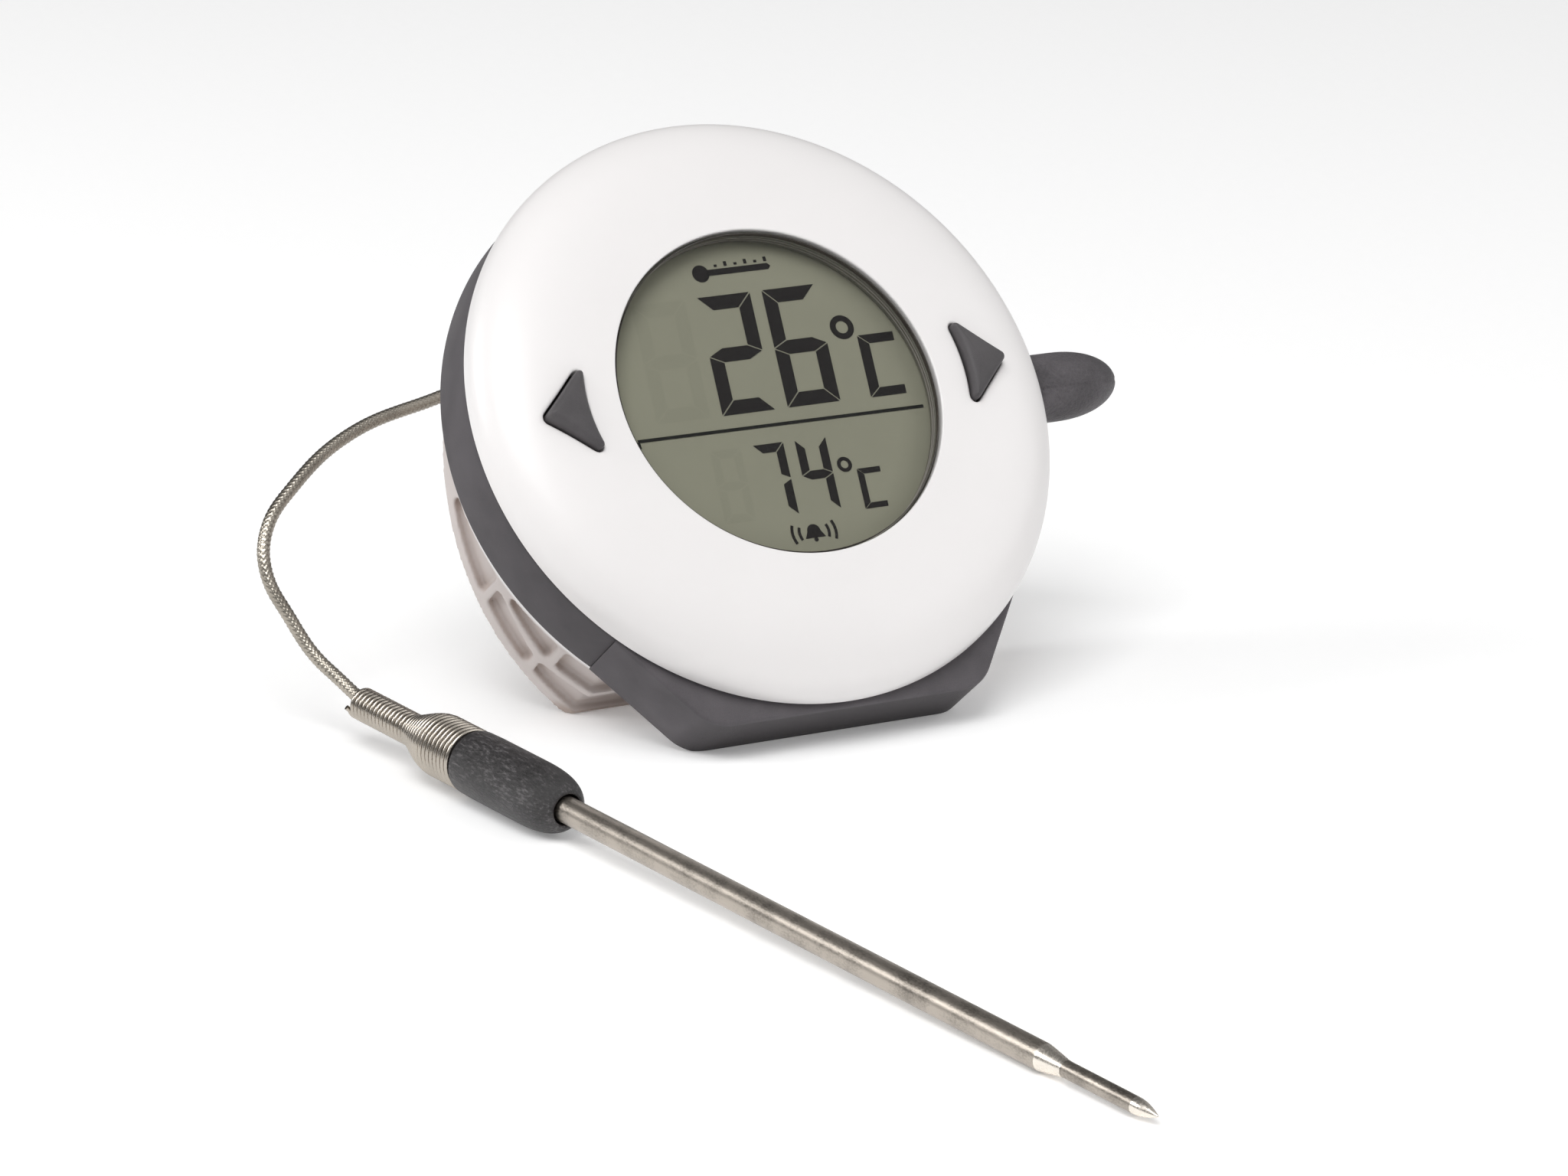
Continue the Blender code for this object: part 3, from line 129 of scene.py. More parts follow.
# Rear housing
HOUSING_RADIUS = 38.2 * MM
HOUSING_NECK = 37.5 * MM
HOUSING_WALL = 2.0 * MM
HOUSING_BACK_WALL = 2.8 * MM
HOUSING_SHOULDER = 17.4 * MM
HOUSING_TOP_BACK = 17.6 * MM
LEDGE_BACK = 17.3 * MM
CHORD_DROP = 28.3 * MM
REAR_DEPTH = 24.3 * MM
REAR_SLOPE = math.atan(0.33)
POCKET_DEPTH = 1.2 * MM
POCKET_CORNER = 0.7 * MM
POCKET_FRONT = 20.9 * MM
POCKET_REAR_MARGIN = 2.0 * MM
MID_RIB_FRONT = 25.4 * MM
MID_RIB_BACK = 26.7 * MM
POCKET_RIB = 1.2 * MM
# Depth where the pale front strip, painted bright against the shade near the band, ends
PALE_END = 20.2 * MM
SCREW_PLACES = ((17.0 * MM, 27.0 * MM), (-17.0 * MM, 27.0 * MM),
                (12.0 * MM, -32.0 * MM), (-12.0 * MM, -32.0 * MM))
SCREW_HOLE = 1.25 * MM
SCREW_HEAD = 1.8 * MM
SCREW_LENGTH = 11.2 * MM
HEAD_SEAT = 15.4 * MM
SCREW_WELL = 2.3 * MM
BOSS_RADIUS = 3.2 * MM
BOSS_FRONT = 7.9 * MM
BOSS_BACK = 16.5 * MM

# Battery bay, rear fittings
BAY_HALF = 24.3 * MM
BAY_LOW = -24.8 * MM
BAY_HIGH = -2.2 * MM
BAY_DEPTH = 12.7 * MM
BAY_WALL = 1.2 * MM
COVER_PLATE = 1.4 * MM
COVER_HALF = 25.8 * MM
COVER_LOW = -26.5 * MM
COVER_HIGH = -0.5 * MM
MAGNET_RADIUS = 6.0 * MM
MAGNET_THICKNESS = 2.4 * MM
MAGNET_X = 21.0 * MM
REAR_ROW = 9.5 * MM
MAGNET_PLACES = ((MAGNET_X, REAR_ROW), (-MAGNET_X, REAR_ROW))
KNOB_X = 7.5 * MM
KNOB_WIDTH = 3.2 * MM
KNOB_HEIGHT = 2.6 * MM
KNOB_TRAVEL = 3.0 * MM
WELL_HALF = 5.2 * MM
WELL_RISE = 2.9 * MM
MOUNT_UP = 17.0 * MM

# Plug
SOCKET_DEPTH = 12.25 * MM
SOCKET_COLLAR = 3.2 * MM
PIN_RADIUS = 1.25 * MM
BOOT_BASE = 40.8 * MM
BOOT_LENGTH = 15.0 * MM
BOOT_RADIUS = 4.6 * MM
LEG_X = 46.5 * MM
LEG_DIRECTION = Vector((-0.3, 1.0, 0.35)).normalized()
LEG_LENGTH = 13.0 * MM

# Cable
CABLE_RADIUS = 0.85 * MM
CABLE_ROUTE = ((36.0, 44.0, 30.5), (20.0, 52.5, 33.5), (0.0, 55.0, 37.0), (-18.0, 52.0, 37.5),
               (-31.2, 48.4, 35.8), (-45.1, 45.4, 33.4), (-55.3, 40.9, 28.8), (-60.9, 37.3, 24.2),
               (-62.1, 34.4, 19.6), (-60.3, 31.6, 14.6), (-58.2, 28.4, 10.0), (-56.6, 25.4, 7.9))

# Probe, measured along its axis from the back end of the spring
PROBE_HEADING = math.radians(-90.0 + 7.93)
PROBE_PITCH = math.radians(1.5)
SPRING_SLIM = 2.17 * MM
SPRING_WIDE = 4.1 * MM
SPRING_SLIM_END = 12.4 * MM
SPRING_FLARE_END = 19.8 * MM
SPRING_END = 25.8 * MM
SPRING_WIRE = 0.335 * MM
SPRING_PITCH = 0.83 * MM
HANDLE_RADIUS = 4.2 * MM
HANDLE_END = 46.0 * MM
HANDLE_NOSE = 8.4 * MM
HANDLE_BLUNT = 3.0
TUBE_RADIUS = 1.68 * MM
TUBE_START = 30.0 * MM
SHOULDER_START = 138.3 * MM
SHOULDER_END = 142.0 * MM
TIP_RADIUS = 1.02 * MM
TIP_START = 154.2 * MM
TIP_END = 158.0 * MM


# ---------------------------------------------------------------- frames

def axes_frame(origin, depth_axis):
    """Frame with X to the right, Y along the depth axis and Z up."""
    across = Vector((1.0, 0.0, 0.0))
    depth = Vector(depth_axis).normalized()
    up = across.cross(depth)
    matrix = Matrix((across, depth, up)).transposed().to_4x4()
    matrix.translation = origin
    return matrix


def node_centre(node):
    """Middle of a CAD node's box."""
    low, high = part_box(node)
    return (low + high) / 2.0


PRESS_AXIS = Vector(JOINTS["button_left_press"]["axis"])
WINDOW_CENTRE = node_centre("window_lens") - PRESS_AXIS * LENS_MIDDLE
HEAD = axes_frame(WINDOW_CENTRE, PRESS_AXIS)
COVER_RADIUS = (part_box("front_cover")[1].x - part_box("front_cover")[0].x) / 2.0
REAR = axes_frame((0.0, 0.0, 0.0), MOUNTS["magnet_back"]["axis"])
REAR.translation = Vector(MOUNTS["magnet_back"]["pos_m"]) - REAR.col[2].to_3d() * MOUNT_UP
PROBE = Matrix.Translation(JOINTS["probe_swing"]["pos_m"]) @ Euler(
    (0.0, PROBE_PITCH, PROBE_HEADING), 'XYZ').to_matrix().to_4x4()
SOCKET = HEAD @ Matrix.Translation((0.0, SOCKET_DEPTH, 0.0))
LEAN = math.asin(-PRESS_AXIS.z)
WINDOW_HEIGHT = WINDOW_CENTRE.z


# ---------------------------------------------------------------- mesh tools

def turned_bmesh(profile, axis="Y", steps=MID_STEPS, closed=None, start=0.0, sweep=None):
    """Spin a profile of (radius, distance along the axis) points about X or Y."""
    if closed is None:
        closed = min(radius for radius, _ in profile) > 0.0
    bm = bmesh.new()
    whole = sweep is None
    if axis == "Y":
        places = [(radius * math.cos(start), along, radius * math.sin(start)) for radius, along in profile]
        spin_axis = (0.0, -1.0, 0.0)
    else:
        places = [(along, 0.0, radius) for radius, along in profile]
        spin_axis = (1.0, 0.0, 0.0)
    verts = [bm.verts.new(place) for place in places]
    edges = [bm.edges.new(pair) for pair in zip(verts, verts[1:])]
    if closed:
        edges.append(bm.edges.new((verts[-1], verts[0])))
    if not whole:
        bm.faces.new(verts)
    angle = 2.0 * math.pi if whole else sweep
    result = bmesh.ops.spin(bm, geom=verts + edges, cent=(0.0, 0.0, 0.0), axis=spin_axis,
                            angle=angle, steps=steps, use_merge=whole)
    if not whole:
        last = [part for part in result["geom_last"] if isinstance(part, bmesh.types.BMVert)]
        bm.faces.new(last)
    bmesh.ops.remove_doubles(bm, verts=bm.verts, dist=1e-7)
    return bm


def prism_bmesh(outline, low, high, plane="XZ"):
    """Extrude an outline, given in a plane by name, along the axis across that plane."""
    place = {"XZ": lambda a, b, level: (a, level, b), "YZ": lambda a, b, level: (level, a, b),
             "XY": lambda a, b, level: (a, b, level)}[plane]
    bm = bmesh.new()
    face = bm.faces.new([bm.verts.new(place(a, b, low)) for a, b in outline])
    pushed = bmesh.ops.extrude_face_region(bm, geom=[face])["geom"]
    ends = [part for part in pushed if isinstance(part, bmesh.types.BMVert)]
    bmesh.ops.translate(bm, verts=ends, vec=Vector(place(0.0, 0.0, high - low)))
    return bm


def loft_bmesh(rings):
    """Closed body through rings of equally many points, each a list of 3-D places."""
    bm = bmesh.new()
    loops = [[bm.verts.new(place) for place in ring] for ring in rings]
    count = len(loops[0])
    for lower, upper in zip(loops, loops[1:]):
        for index in range(count):
            after = (index + 1) % count
            bm.faces.new((lower[index], lower[after], upper[after], upper[index]))
    bm.faces.new(loops[0][::-1])
    bm.faces.new(loops[-1])
    return bm


def box_bmesh(xs, ys, zs):
    """A block between the given limits."""
    bm = bmesh.new()
    size = Vector((xs[1] - xs[0], ys[1] - ys[0], zs[1] - zs[0]))
    middle = Vector((sum(xs), sum(ys), sum(zs))) / 2.0
    matrix = Matrix.Translation(middle) @ Matrix.Diagonal((*size, 1.0))
    bmesh.ops.create_cube(bm, size=1.0, matrix=matrix)
    return bm


def rectangle(left, right, low, high):
    """Corners of an upright rectangle, also the section of a plain ring or rod."""
    return [(left, low), (right, low), (right, high), (left, high)]


def moved(bm, offset):
    """Shift a bmesh and hand it back."""
    bmesh.ops.translate(bm, verts=bm.verts, vec=Vector(offset))
    return bm


def copies(profile, places):
    """Solids turned about Y from one profile, at several (x, z) places."""
    return [moved(turned_bmesh(profile, "Y", SMALL_STEPS), (x, 0.0, z)) for x, z in places]


def socket_hole(radius, start):
    """Cutter for the opening at the socket, from a distance out to beyond the head."""
    hole = turned_bmesh(rectangle(0.0, radius, start, OUTSIDE), "X", SMALL_STEPS)
    return moved(hole, (0.0, SOCKET_DEPTH, 0.0))


def crowded(steps):
    """Numbers from 0 to 1 that crowd towards 1."""
    return [math.sin(0.5 * math.pi * step / steps) for step in range(steps + 1)]


def to_object(name, meshes, place=None, mat=None, sharp=30.0):
    """One object from one or more closed bmeshes given in a local frame."""
    parts = meshes if isinstance(meshes, list) else [meshes]
    whole = bmesh.new()
    for bm in parts:
        bmesh.ops.recalc_face_normals(bm, faces=bm.faces)
        part = bpy.data.meshes.new("part")
        bm.to_mesh(part)
        bm.free()
        whole.from_mesh(part)
        bpy.data.meshes.remove(part)
    if place is not None:
        bmesh.ops.transform(whole, matrix=place, verts=whole.verts)
    mesh = bpy.data.meshes.new(name)
    whole.to_mesh(mesh)
    whole.free()
    mesh.shade_smooth()
    mesh.set_sharp_from_angle(angle=math.radians(sharp))
    item = bpy.data.objects.new(name, mesh)
    if mat:
        mesh.materials.append(mat)
    bpy.context.scene.collection.objects.link(item)
    return item


def settle(item, sharp=30.0):
    """Apply an object's modifiers to its mesh."""
    bpy.context.view_layer.update()
    graph = bpy.context.evaluated_depsgraph_get()
    mesh = bpy.data.meshes.new_from_object(item.evaluated_get(graph), depsgraph=graph)
    old = item.data
    item.modifiers.clear()
    item.data = mesh
    bpy.data.meshes.remove(old)
    mesh.shade_smooth()
    if sharp:
        mesh.set_sharp_from_angle(angle=math.radians(sharp))
    return item


def combine(item, meshes, operation, place=None):
    """Boolean with closed bmeshes, applied at once."""
    tool = to_object("tool", meshes, place)
    modifier = item.modifiers.new("combine", 'BOOLEAN')
    modifier.operation = operation
    modifier.object = tool
    modifier.solver = 'EXACT'
    settle(item)
    data = tool.data
    bpy.data.objects.remove(tool)
    bpy.data.meshes.remove(data)


def mould(item, voxel, rounds):
    """Soften every edge of a solid as a mould would: remesh it finely and relax it."""
    remesh = item.modifiers.new("remesh", 'REMESH')
    remesh.mode = 'VOXEL'
    remesh.voxel_size = voxel
    relax = item.modifiers.new("relax", 'SMOOTH')
    relax.factor = 0.5
    relax.iterations = rounds
    settle(item, sharp=None)


def soften_edges(item, width, segments, angle=None):
    """Round the edges that are sharper than an angle, or else those that carry a weight."""
    bevel = item.modifiers.new("soften", 'BEVEL')
    bevel.width = width
    bevel.segments = segments
    if angle is None:
        bevel.limit_method = 'WEIGHT'
    else:
        bevel.limit_method = 'ANGLE'
        bevel.angle_limit = math.radians(angle)
    settle(item)


def rounded(corners, radius, steps=6):
    """Outline with every corner replaced by an arc of the given radius."""
    outline = []
    count = len(corners)
    for index, corner in enumerate(corners):
        here = Vector(corner)
        back = (Vector(corners[index - 1]) - here).normalized()
        ahead = (Vector(corners[(index + 1) % count]) - here).normalized()
        half = back.angle(ahead) / 2.0
        centre = here + (back + ahead).normalized() * radius / math.sin(half)
        start = here + back * radius / math.tan(half) - centre
        end = here + ahead * radius / math.tan(half) - centre
        sweep = start.angle_signed(end)
        for step in range(steps + 1):
            turn = Matrix.Rotation(-sweep * step / steps, 2)
            outline.append(tuple(centre + turn @ start))
    return outline


def arc(radius, first, last, steps):
    """Points of an arc about the origin, angles in radians."""
    angles = [first + (last - first) * step / steps for step in range(steps + 1)]
    return [(radius * math.cos(angle), radius * math.sin(angle)) for angle in angles]


def resampled(outline, spacing):
    """Outline with extra points, so that no side is longer than the spacing."""
    points = []
    for index, start in enumerate(outline):
        end = outline[(index + 1) % len(outline)]
        parts = max(1, math.ceil(math.dist(start, end) / spacing))
        for step in range(parts):
            share = step / parts
            points.append((start[0] + (end[0] - start[0]) * share,
                           start[1] + (end[1] - start[1]) * share))
    return points


def swept_bmesh(path, radius, around, relief=None):
    """Tube along a path; relief(turn angle, index) adds height to its radius."""
    path = np.asarray(path, float)
    tangents = np.gradient(path, axis=0)
    tangents /= np.linalg.norm(tangents, axis=1)[:, None]
    normal = Vector(tangents[0]).orthogonal().normalized()
    angles = np.linspace(0.0, 2.0 * math.pi, around, endpoint=False)
    loops = []
    previous = Vector(tangents[0])
    for index, (point, tangent) in enumerate(zip(path, tangents)):
        tangent = Vector(tangent)
        normal = previous.rotation_difference(tangent) @ normal
        previous = tangent
        side = tangent.cross(normal)
        loop = []
        for angle in angles:
            reach = radius + (relief(angle, index) if relief else 0.0)
            loop.append(Vector(point) + (normal * math.cos(angle) + side * math.sin(angle)) * reach)
        loops.append(loop)
    return loft_bmesh(loops)


# ---------------------------------------------------------------- materials

class Nodes:
    """Short hand for building the node tree of a material or of the world."""

    def __init__(self, owner, coords="Object"):
        owner.use_nodes = True
        self.owner = owner
        self.tree = owner.node_tree
        self.coords = self.add("TexCoord").outputs[coords]

    def add(self, kind, **inputs):
        """New shader node of a kind, with inputs by name, where _ stands for a space."""
        node = self.tree.nodes.new("ShaderNode" + kind)
        self.feed(node, **inputs)
        return node

    def feed(self, node, **inputs):
        """Link or set inputs of a node by name, where _ stands for a space."""
        for key, value in inputs.items():
            self.give(node.inputs[key.replace("_", " ")], value)

    def give(self, socket, value):
        """Link an input to an output, or set it to a number, a colour or a vector."""
        if isinstance(value, bpy.types.NodeSocket):
            self.tree.links.new(value, socket)
        elif socket.type == 'RGBA':
            socket.default_value = (*value, 1.0)
        else:
            socket.default_value = value

    def maths(self, operation, *values):
        """Result of a calculation with numbers."""
        node = self.add("Math")
        node.operation = operation
        for socket, value in zip(node.inputs, values):
            self.give(socket, value)
        return node.outputs[0]

    def vectors(self, operation, result, first, second):
        """Named result of a calculation with two vectors."""
        node = self.add("VectorMath")
        node.operation = operation
        self.give(node.inputs[0], first)
        self.give(node.inputs[1], second)
        return node.outputs[result]

    def stretched(self, scale, turn=(0.0, 0.0, 0.0)):
        """Object coordinates, turned and stretched."""
        node = self.add("Mapping", Rotation=turn, Scale=scale, Vector=self.coords)
        node.vector_type = 'TEXTURE'
        return node.outputs["Vector"]

    def noise(self, size, detail=2.0, coords=None, rough=0.5):
        """Noise whose features are about the given size in metres."""
        return self.add("TexNoise", Scale=1.0 / size, Detail=detail, Roughness=rough,
                        Vector=coords or self.coords).outputs["Fac"]

    def ramp(self, source, stops, spread=None):
        """Colour ramp with (position, colour or grey) stops, over 0 to 1 or over the given spread."""
        if spread:
            source = self.add("MapRange", From_Min=spread[0], From_Max=spread[1],
                              Value=source).outputs["Result"]
        node = self.add("ValToRGB", Fac=source)
        elements = node.color_ramp.elements
        while len(elements) < len(stops):
            elements.new(0.5)
        for element, (position, colour) in zip(elements, stops):
            element.position = position
            values = colour if isinstance(colour, tuple) else (colour,) * 3
            element.color = (*values, 1.0)
        return node.outputs["Color"]

    def total(self, first, second, share=1.0):
        """first + second * share."""
        return self.maths('MULTIPLY_ADD', second, share, first)

    def along(self, direction, origin):
        """Distance along a direction from an origin."""
        offset = self.vectors('SUBTRACT', "Vector", self.coords, origin)
        return self.vectors('DOT_PRODUCT', "Value", offset, direction)

    def upward(self):
        """0 on faces that look down, 1 on upright faces and those that look up."""
        split = self.add("SeparateXYZ", Vector=self.add("NewGeometry").outputs["Normal"])
        return self.ramp(split.outputs["Z"], ((0.0, 0.0), (1.0, 1.0)), (-0.78, -0.5))

    def mixed(self, share, first, second):
        """Colour between two colours, each a tuple or a socket."""
        node = self.add("Mix")
        node.data_type = 'RGBA'
        # The sockets of a mix node share their names; these three belong to colours
        for index, value in ((0, share), (6, first), (7, second)):
            self.give(node.inputs[index], value)
        return node.outputs[2]

    def bump(self, height, distance, edge=0.0):
        """Bump from a height, over edges rounded by the given radius."""
        node = self.add("Bump", Distance=distance, Height=height)
        if edge:
            self.feed(node, Normal=self.add("Bevel", Radius=edge).outputs["Normal"])
        self.set(Normal=node.outputs["Normal"])

    def set(self, **values):
        """Give values to the material's own shader."""
        self.feed(self.tree.nodes["Principled BSDF"], **values)


def shades(colour, low, high):
    """Two ramp stops: the colour darkened and lightened by the given factors."""
    return (tuple(channel * low for channel in colour), tuple(channel * high for channel in colour))


def moulded_plastic(name, colour, rough, grain, depth, spread=0.04, edge=0.0, coat=0.0, gloss=0.5):
    """Plastic with a fine spark-eroded grain, slow colour drift and varied gloss."""
    nodes = Nodes(bpy.data.materials.new(name))
    slow = nodes.noise(14.0 * MM, 3.0)
    low, high = shades(colour, 1.0 - spread, 1.0 + spread)
    fine = nodes.noise(grain, 3.0)
    nodes.set(Base_Color=nodes.ramp(slow, ((0.3, low), (0.7, high))),
              Roughness=nodes.ramp(fine, ((0.3, rough - 0.05), (0.7, rough + 0.06))),
              Coat_Weight=coat, Coat_Roughness=0.12, Specular_IOR_Level=gloss)
    nodes.bump(fine, depth, edge)
    return nodes.owner


def rubber(name, colour, rough, grain=0.14 * MM, depth=0.02 * MM, speckle=0.17, underside_shade=None):
    """Soft moulded rubber: dull, faintly mottled, with specks of bloom; faces that look down can get painted
    shade.
    """
    nodes = Nodes(bpy.data.materials.new(name))
    slow = nodes.noise(6.0 * MM, 4.0)
    fine = nodes.noise(grain, 4.0, rough=0.65)
    both = nodes.total(slow, fine, 0.6)
    low, high = shades(colour, 1.0 - speckle, 1.0 + speckle)
    skin = nodes.ramp(both, ((0.55, low), (1.05, high)))
    # Painted shade: faces that look down take the darker underside colour
    if underside_shade:
        skin = nodes.mixed(nodes.upward(), underside_shade, skin)
    nodes.set(Base_Color=skin, Roughness=nodes.ramp(fine, ((0.3, rough - 0.07), (0.75, rough + 0.08))),
              Sheen_Weight=0.04, Sheen_Roughness=0.5, Specular_IOR_Level=0.32)
    nodes.bump(fine, depth)
    return nodes.owner


def steel(name, colour, rough, grain, depth, turn=(0.0, 0.0, 0.0), stretch=1.0, spread=0.12):
    """Steel with a fine grain that can be stretched along one direction."""
    nodes = Nodes(bpy.data.materials.new(name))
    coords = nodes.stretched((stretch, 1.0, 1.0), turn)
    fine = nodes.noise(grain, 4.0, coords, 0.6)
    slow = nodes.noise(5.0 * MM, 2.0)
    both = nodes.total(slow, fine, 0.8)
    low, high = shades(colour, 1.0 - spread, 1.0 + spread)
    nodes.set(Base_Color=nodes.ramp(both, ((0.6, low), (1.15, high))), Metallic=1.0,
              Roughness=nodes.ramp(fine, ((0.3, rough - 0.08), (0.75, rough + 0.1))))
    nodes.bump(fine, depth)
    return nodes.owner


def housing_plastic(name, colour, deep, pale):
    """Greyish moulded plastic; a pale front rim painted bright enough to stay white in the shade near the band,
    and painted shade, darker and warmer, in its recesses.
    """
    nodes = Nodes(bpy.data.materials.new(name))
    fine = nodes.noise(0.16 * MM, 3.0)
    slow = nodes.noise(11.0 * MM, 3.0)
    depth = nodes.along(PRESS_AXIS, WINDOW_CENTRE)
    # The front strip is painted pale, bright enough to stay white in the shade near the band
    rim = nodes.ramp(depth, ((0.0, 0.0), (1.0, 1.0)), (PALE_END, PALE_END + 0.5 * MM))
    # Painted shade: the occlusion mask darkens recesses and places near other parts towards the deep colour
    occlusion_shade = nodes.add("AmbientOcclusion", Distance=2.2 * MM)
    occlusion_shade.samples = 6
    level = nodes.total(occlusion_shade.outputs["AO"], slow, 0.06)
    share = nodes.ramp(level, ((0.45, 0.0), (0.96, 1.0)))
    walls_with_painted_shade = nodes.mixed(share, deep, colour)
    nodes.set(Base_Color=nodes.mixed(rim, pale, walls_with_painted_shade),
              Roughness=nodes.ramp(fine, ((0.3, 0.42), (0.7, 0.54))))
    nodes.bump(fine, 0.012 * MM)
    return nodes.owner


def handle_plastic(name, turn):
    """Black glass-filled plastic with a drawn-out speckle along the handle."""
    nodes = Nodes(bpy.data.materials.new(name))
    long_grain = nodes.noise(0.32 * MM, 5.0, nodes.stretched((3.2, 1.0, 1.0), turn), 0.7)
    slow = nodes.noise(3.5 * MM, 2.0)
    both = nodes.total(long_grain, slow, 0.35)
    nodes.set(Base_Color=nodes.ramp(both, ((0.56, (0.012, 0.011, 0.011)), (0.72, (0.032, 0.029, 0.030)),
                                           (0.86, (0.120, 0.113, 0.115)))),
              Roughness=nodes.ramp(long_grain, ((0.35, 0.34), (0.7, 0.52))), Specular_IOR_Level=0.5)
    nodes.bump(both, 0.16 * MM)
    return nodes.owner


def floor_card(name):
    """White card, faintly self-lit so that it stays white away from the lights."""
    nodes = Nodes(bpy.data.materials.new(name))
    fine = nodes.noise(2.0 * MM, 3.0)
    nodes.set(Base_Color=nodes.ramp(fine, ((0.3, 0.92), (0.7, 0.94))), Roughness=0.85,
              Specular_IOR_Level=0.1, Emission_Color=(1.0, 1.0, 1.0), Emission_Strength=0.17)
    return nodes.owner


def glass(name, colour, share):
    """Thin clear plastic: what lies behind shows through, with a reflection on top."""
    nodes = Nodes(bpy.data.materials.new(name))
    clear = nodes.add("BsdfTransparent", Color=colour)
    fresnel = nodes.add("Fresnel", IOR=1.18)
    haze = nodes.ramp(nodes.noise(9.0 * MM, 2.0), ((0.3, share * 0.8), (0.7, share * 1.2)))
    nodes.set(Base_Color=(0.5, 0.5, 0.5), Roughness=0.03)
    mix = nodes.add("MixShader", Fac=nodes.total(fresnel.outputs[0], haze))
    nodes.give(mix.inputs[1], clear.outputs[0])
    nodes.give(mix.inputs[2], nodes.tree.nodes["Principled BSDF"].outputs[0])
    nodes.feed(nodes.tree.nodes["Material Output"], Surface=mix.outputs[0])
    return nodes.owner


def make_materials():
    """Every finish of the object: name, colour, roughness, size and depth of the grain, and more."""
    turn = (0.0, PROBE_PITCH, PROBE_HEADING)
    return {
        "white": moulded_plastic("satin_white", (0.81, 0.79, 0.785), 0.38, 0.35 * MM, 0.004 * MM,
                                 0.008, 0.12 * MM, 0.1),
        # Housing colours: the walls, the painted shade of the recesses, and the pale front strip painted to stay
        # bright in shade
        "housing": housing_plastic("housing_grey", (0.60, 0.545, 0.525), (0.42, 0.34, 0.30),
                                   (0.90, 0.885, 0.885)),
        "rubber": rubber("band_rubber", (0.072, 0.065, 0.071), 0.64, 0.16 * MM, 0.03 * MM),
        # The foot's faces that look down get painted shade
        "foot": rubber("foot_rubber", (0.090, 0.082, 0.089), 0.64, 0.16 * MM, 0.03 * MM,
                       underside_shade=(0.040, 0.035, 0.038)),
        "button": rubber("button_rubber", (0.070, 0.065, 0.068), 0.50),
        "boot": rubber("boot_rubber", (0.084, 0.077, 0.083), 0.50, 0.42 * MM, 0.4 * MM, 0.45),
        "lens": glass("clear_lens", (0.985, 0.99, 0.985), 0.004),
        # Pale rings on the bezel wall: painted highlights for the light that the lens edge refracts
        "line": moulded_plastic("painted_highlight_line", (0.34, 0.31, 0.29), 0.5, 0.3 * MM, 0.002 * MM),
        "edge": moulded_plastic("lens_edge_brown", (0.050, 0.038, 0.032), 0.35, 0.3 * MM, 0.004 * MM),
        "bezel": moulded_plastic("bezel_grey", (0.175, 0.168, 0.140), 0.5, 0.3 * MM, 0.004 * MM),
        "lcd": moulded_plastic("lcd_reflector", (0.275, 0.268, 0.206), 0.7, 0.12 * MM, 0.001 * MM, 0.025,
                               gloss=0.1),
        "ghost": moulded_plastic("lcd_ghost", (0.262, 0.255, 0.196), 0.7, 0.12 * MM, 0.001 * MM, 0.02,
                                 gloss=0.1),
        "segment": moulded_plastic("lcd_segment", (0.012, 0.010, 0.010), 0.6, 0.1 * MM, 0.001 * MM, 0.1,
                                   gloss=0.08),
        "print": moulded_plastic("lcd_print", (0.006, 0.006, 0.005), 0.5, 0.1 * MM, 0.001 * MM, gloss=0.08),
        "dark": moulded_plastic("dark_plastic", (0.030, 0.028, 0.030), 0.45, 0.2 * MM, 0.01 * MM),
        "handle": handle_plastic("handle_grain", turn),
        "tube": steel("tube_steel", (0.36, 0.325, 0.285), 0.36, 0.22 * MM, 0.02 * MM, turn, 1.8, 0.36),
        "ground": steel("ground_steel", (0.86, 0.80, 0.72), 0.26, 0.3 * MM, 0.002 * MM, spread=0.06),
        "wire": steel("spring_wire", (0.44, 0.40, 0.35), 0.24, 0.1 * MM, 0.004 * MM),
        "braid": steel("braid_wire", (0.35, 0.32, 0.275), 0.30, 0.08 * MM, 0.01 * MM, spread=0.3),
        "screw": steel("screw_steel", (0.45, 0.44, 0.42), 0.3, 0.2 * MM, 0.006 * MM),
        "nickel": steel("nickel_plate", (0.66, 0.64, 0.60), 0.2, 0.4 * MM, 0.003 * MM),
        "gold": steel("gold_flash", (0.86, 0.62, 0.28), 0.2, 0.2 * MM, 0.003 * MM),
        "brass": steel("brass_rod", (0.72, 0.55, 0.28), 0.35, 0.2 * MM, 0.004 * MM),
        "board": moulded_plastic("solder_mask", (0.02, 0.13, 0.06), 0.4, 0.3 * MM, 0.01 * MM, 0.1),
        "chip": moulded_plastic("black_epoxy", (0.02, 0.02, 0.022), 0.5, 0.15 * MM, 0.01 * MM, 0.1),
        "zebra": rubber("zebra_silicone", (0.5, 0.32, 0.35), 0.7),
        "cell": moulded_plastic("cell_sleeve", (0.05, 0.06, 0.09), 0.32, 0.5 * MM, 0.003 * MM, 0.15),
        "floor": floor_card("floor_card"),
    }


def place_on(item, body, *nodes):
    """Ride on a body and stand for its CAD nodes."""
    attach(item, body)
    if nodes:
        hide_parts(*nodes)
    return item


def fit(item, place, mat, body, *nodes):
    """Move a finished mesh into place, give it its material and let it ride on a body."""
    item.data.transform(place)
    item.data.materials.append(mat)
    return place_on(item, body, *nodes)


def turned_part(name, profile, mat, body, *nodes, axis="Y", steps=BIG_STEPS, place=HEAD):
    """Spin a profile about an axis of a frame and let it ride on a body."""
    return place_on(to_object(name, turned_bmesh(profile, axis, steps), place, mat), body, *nodes)


# ---------------------------------------------------------------- front cover

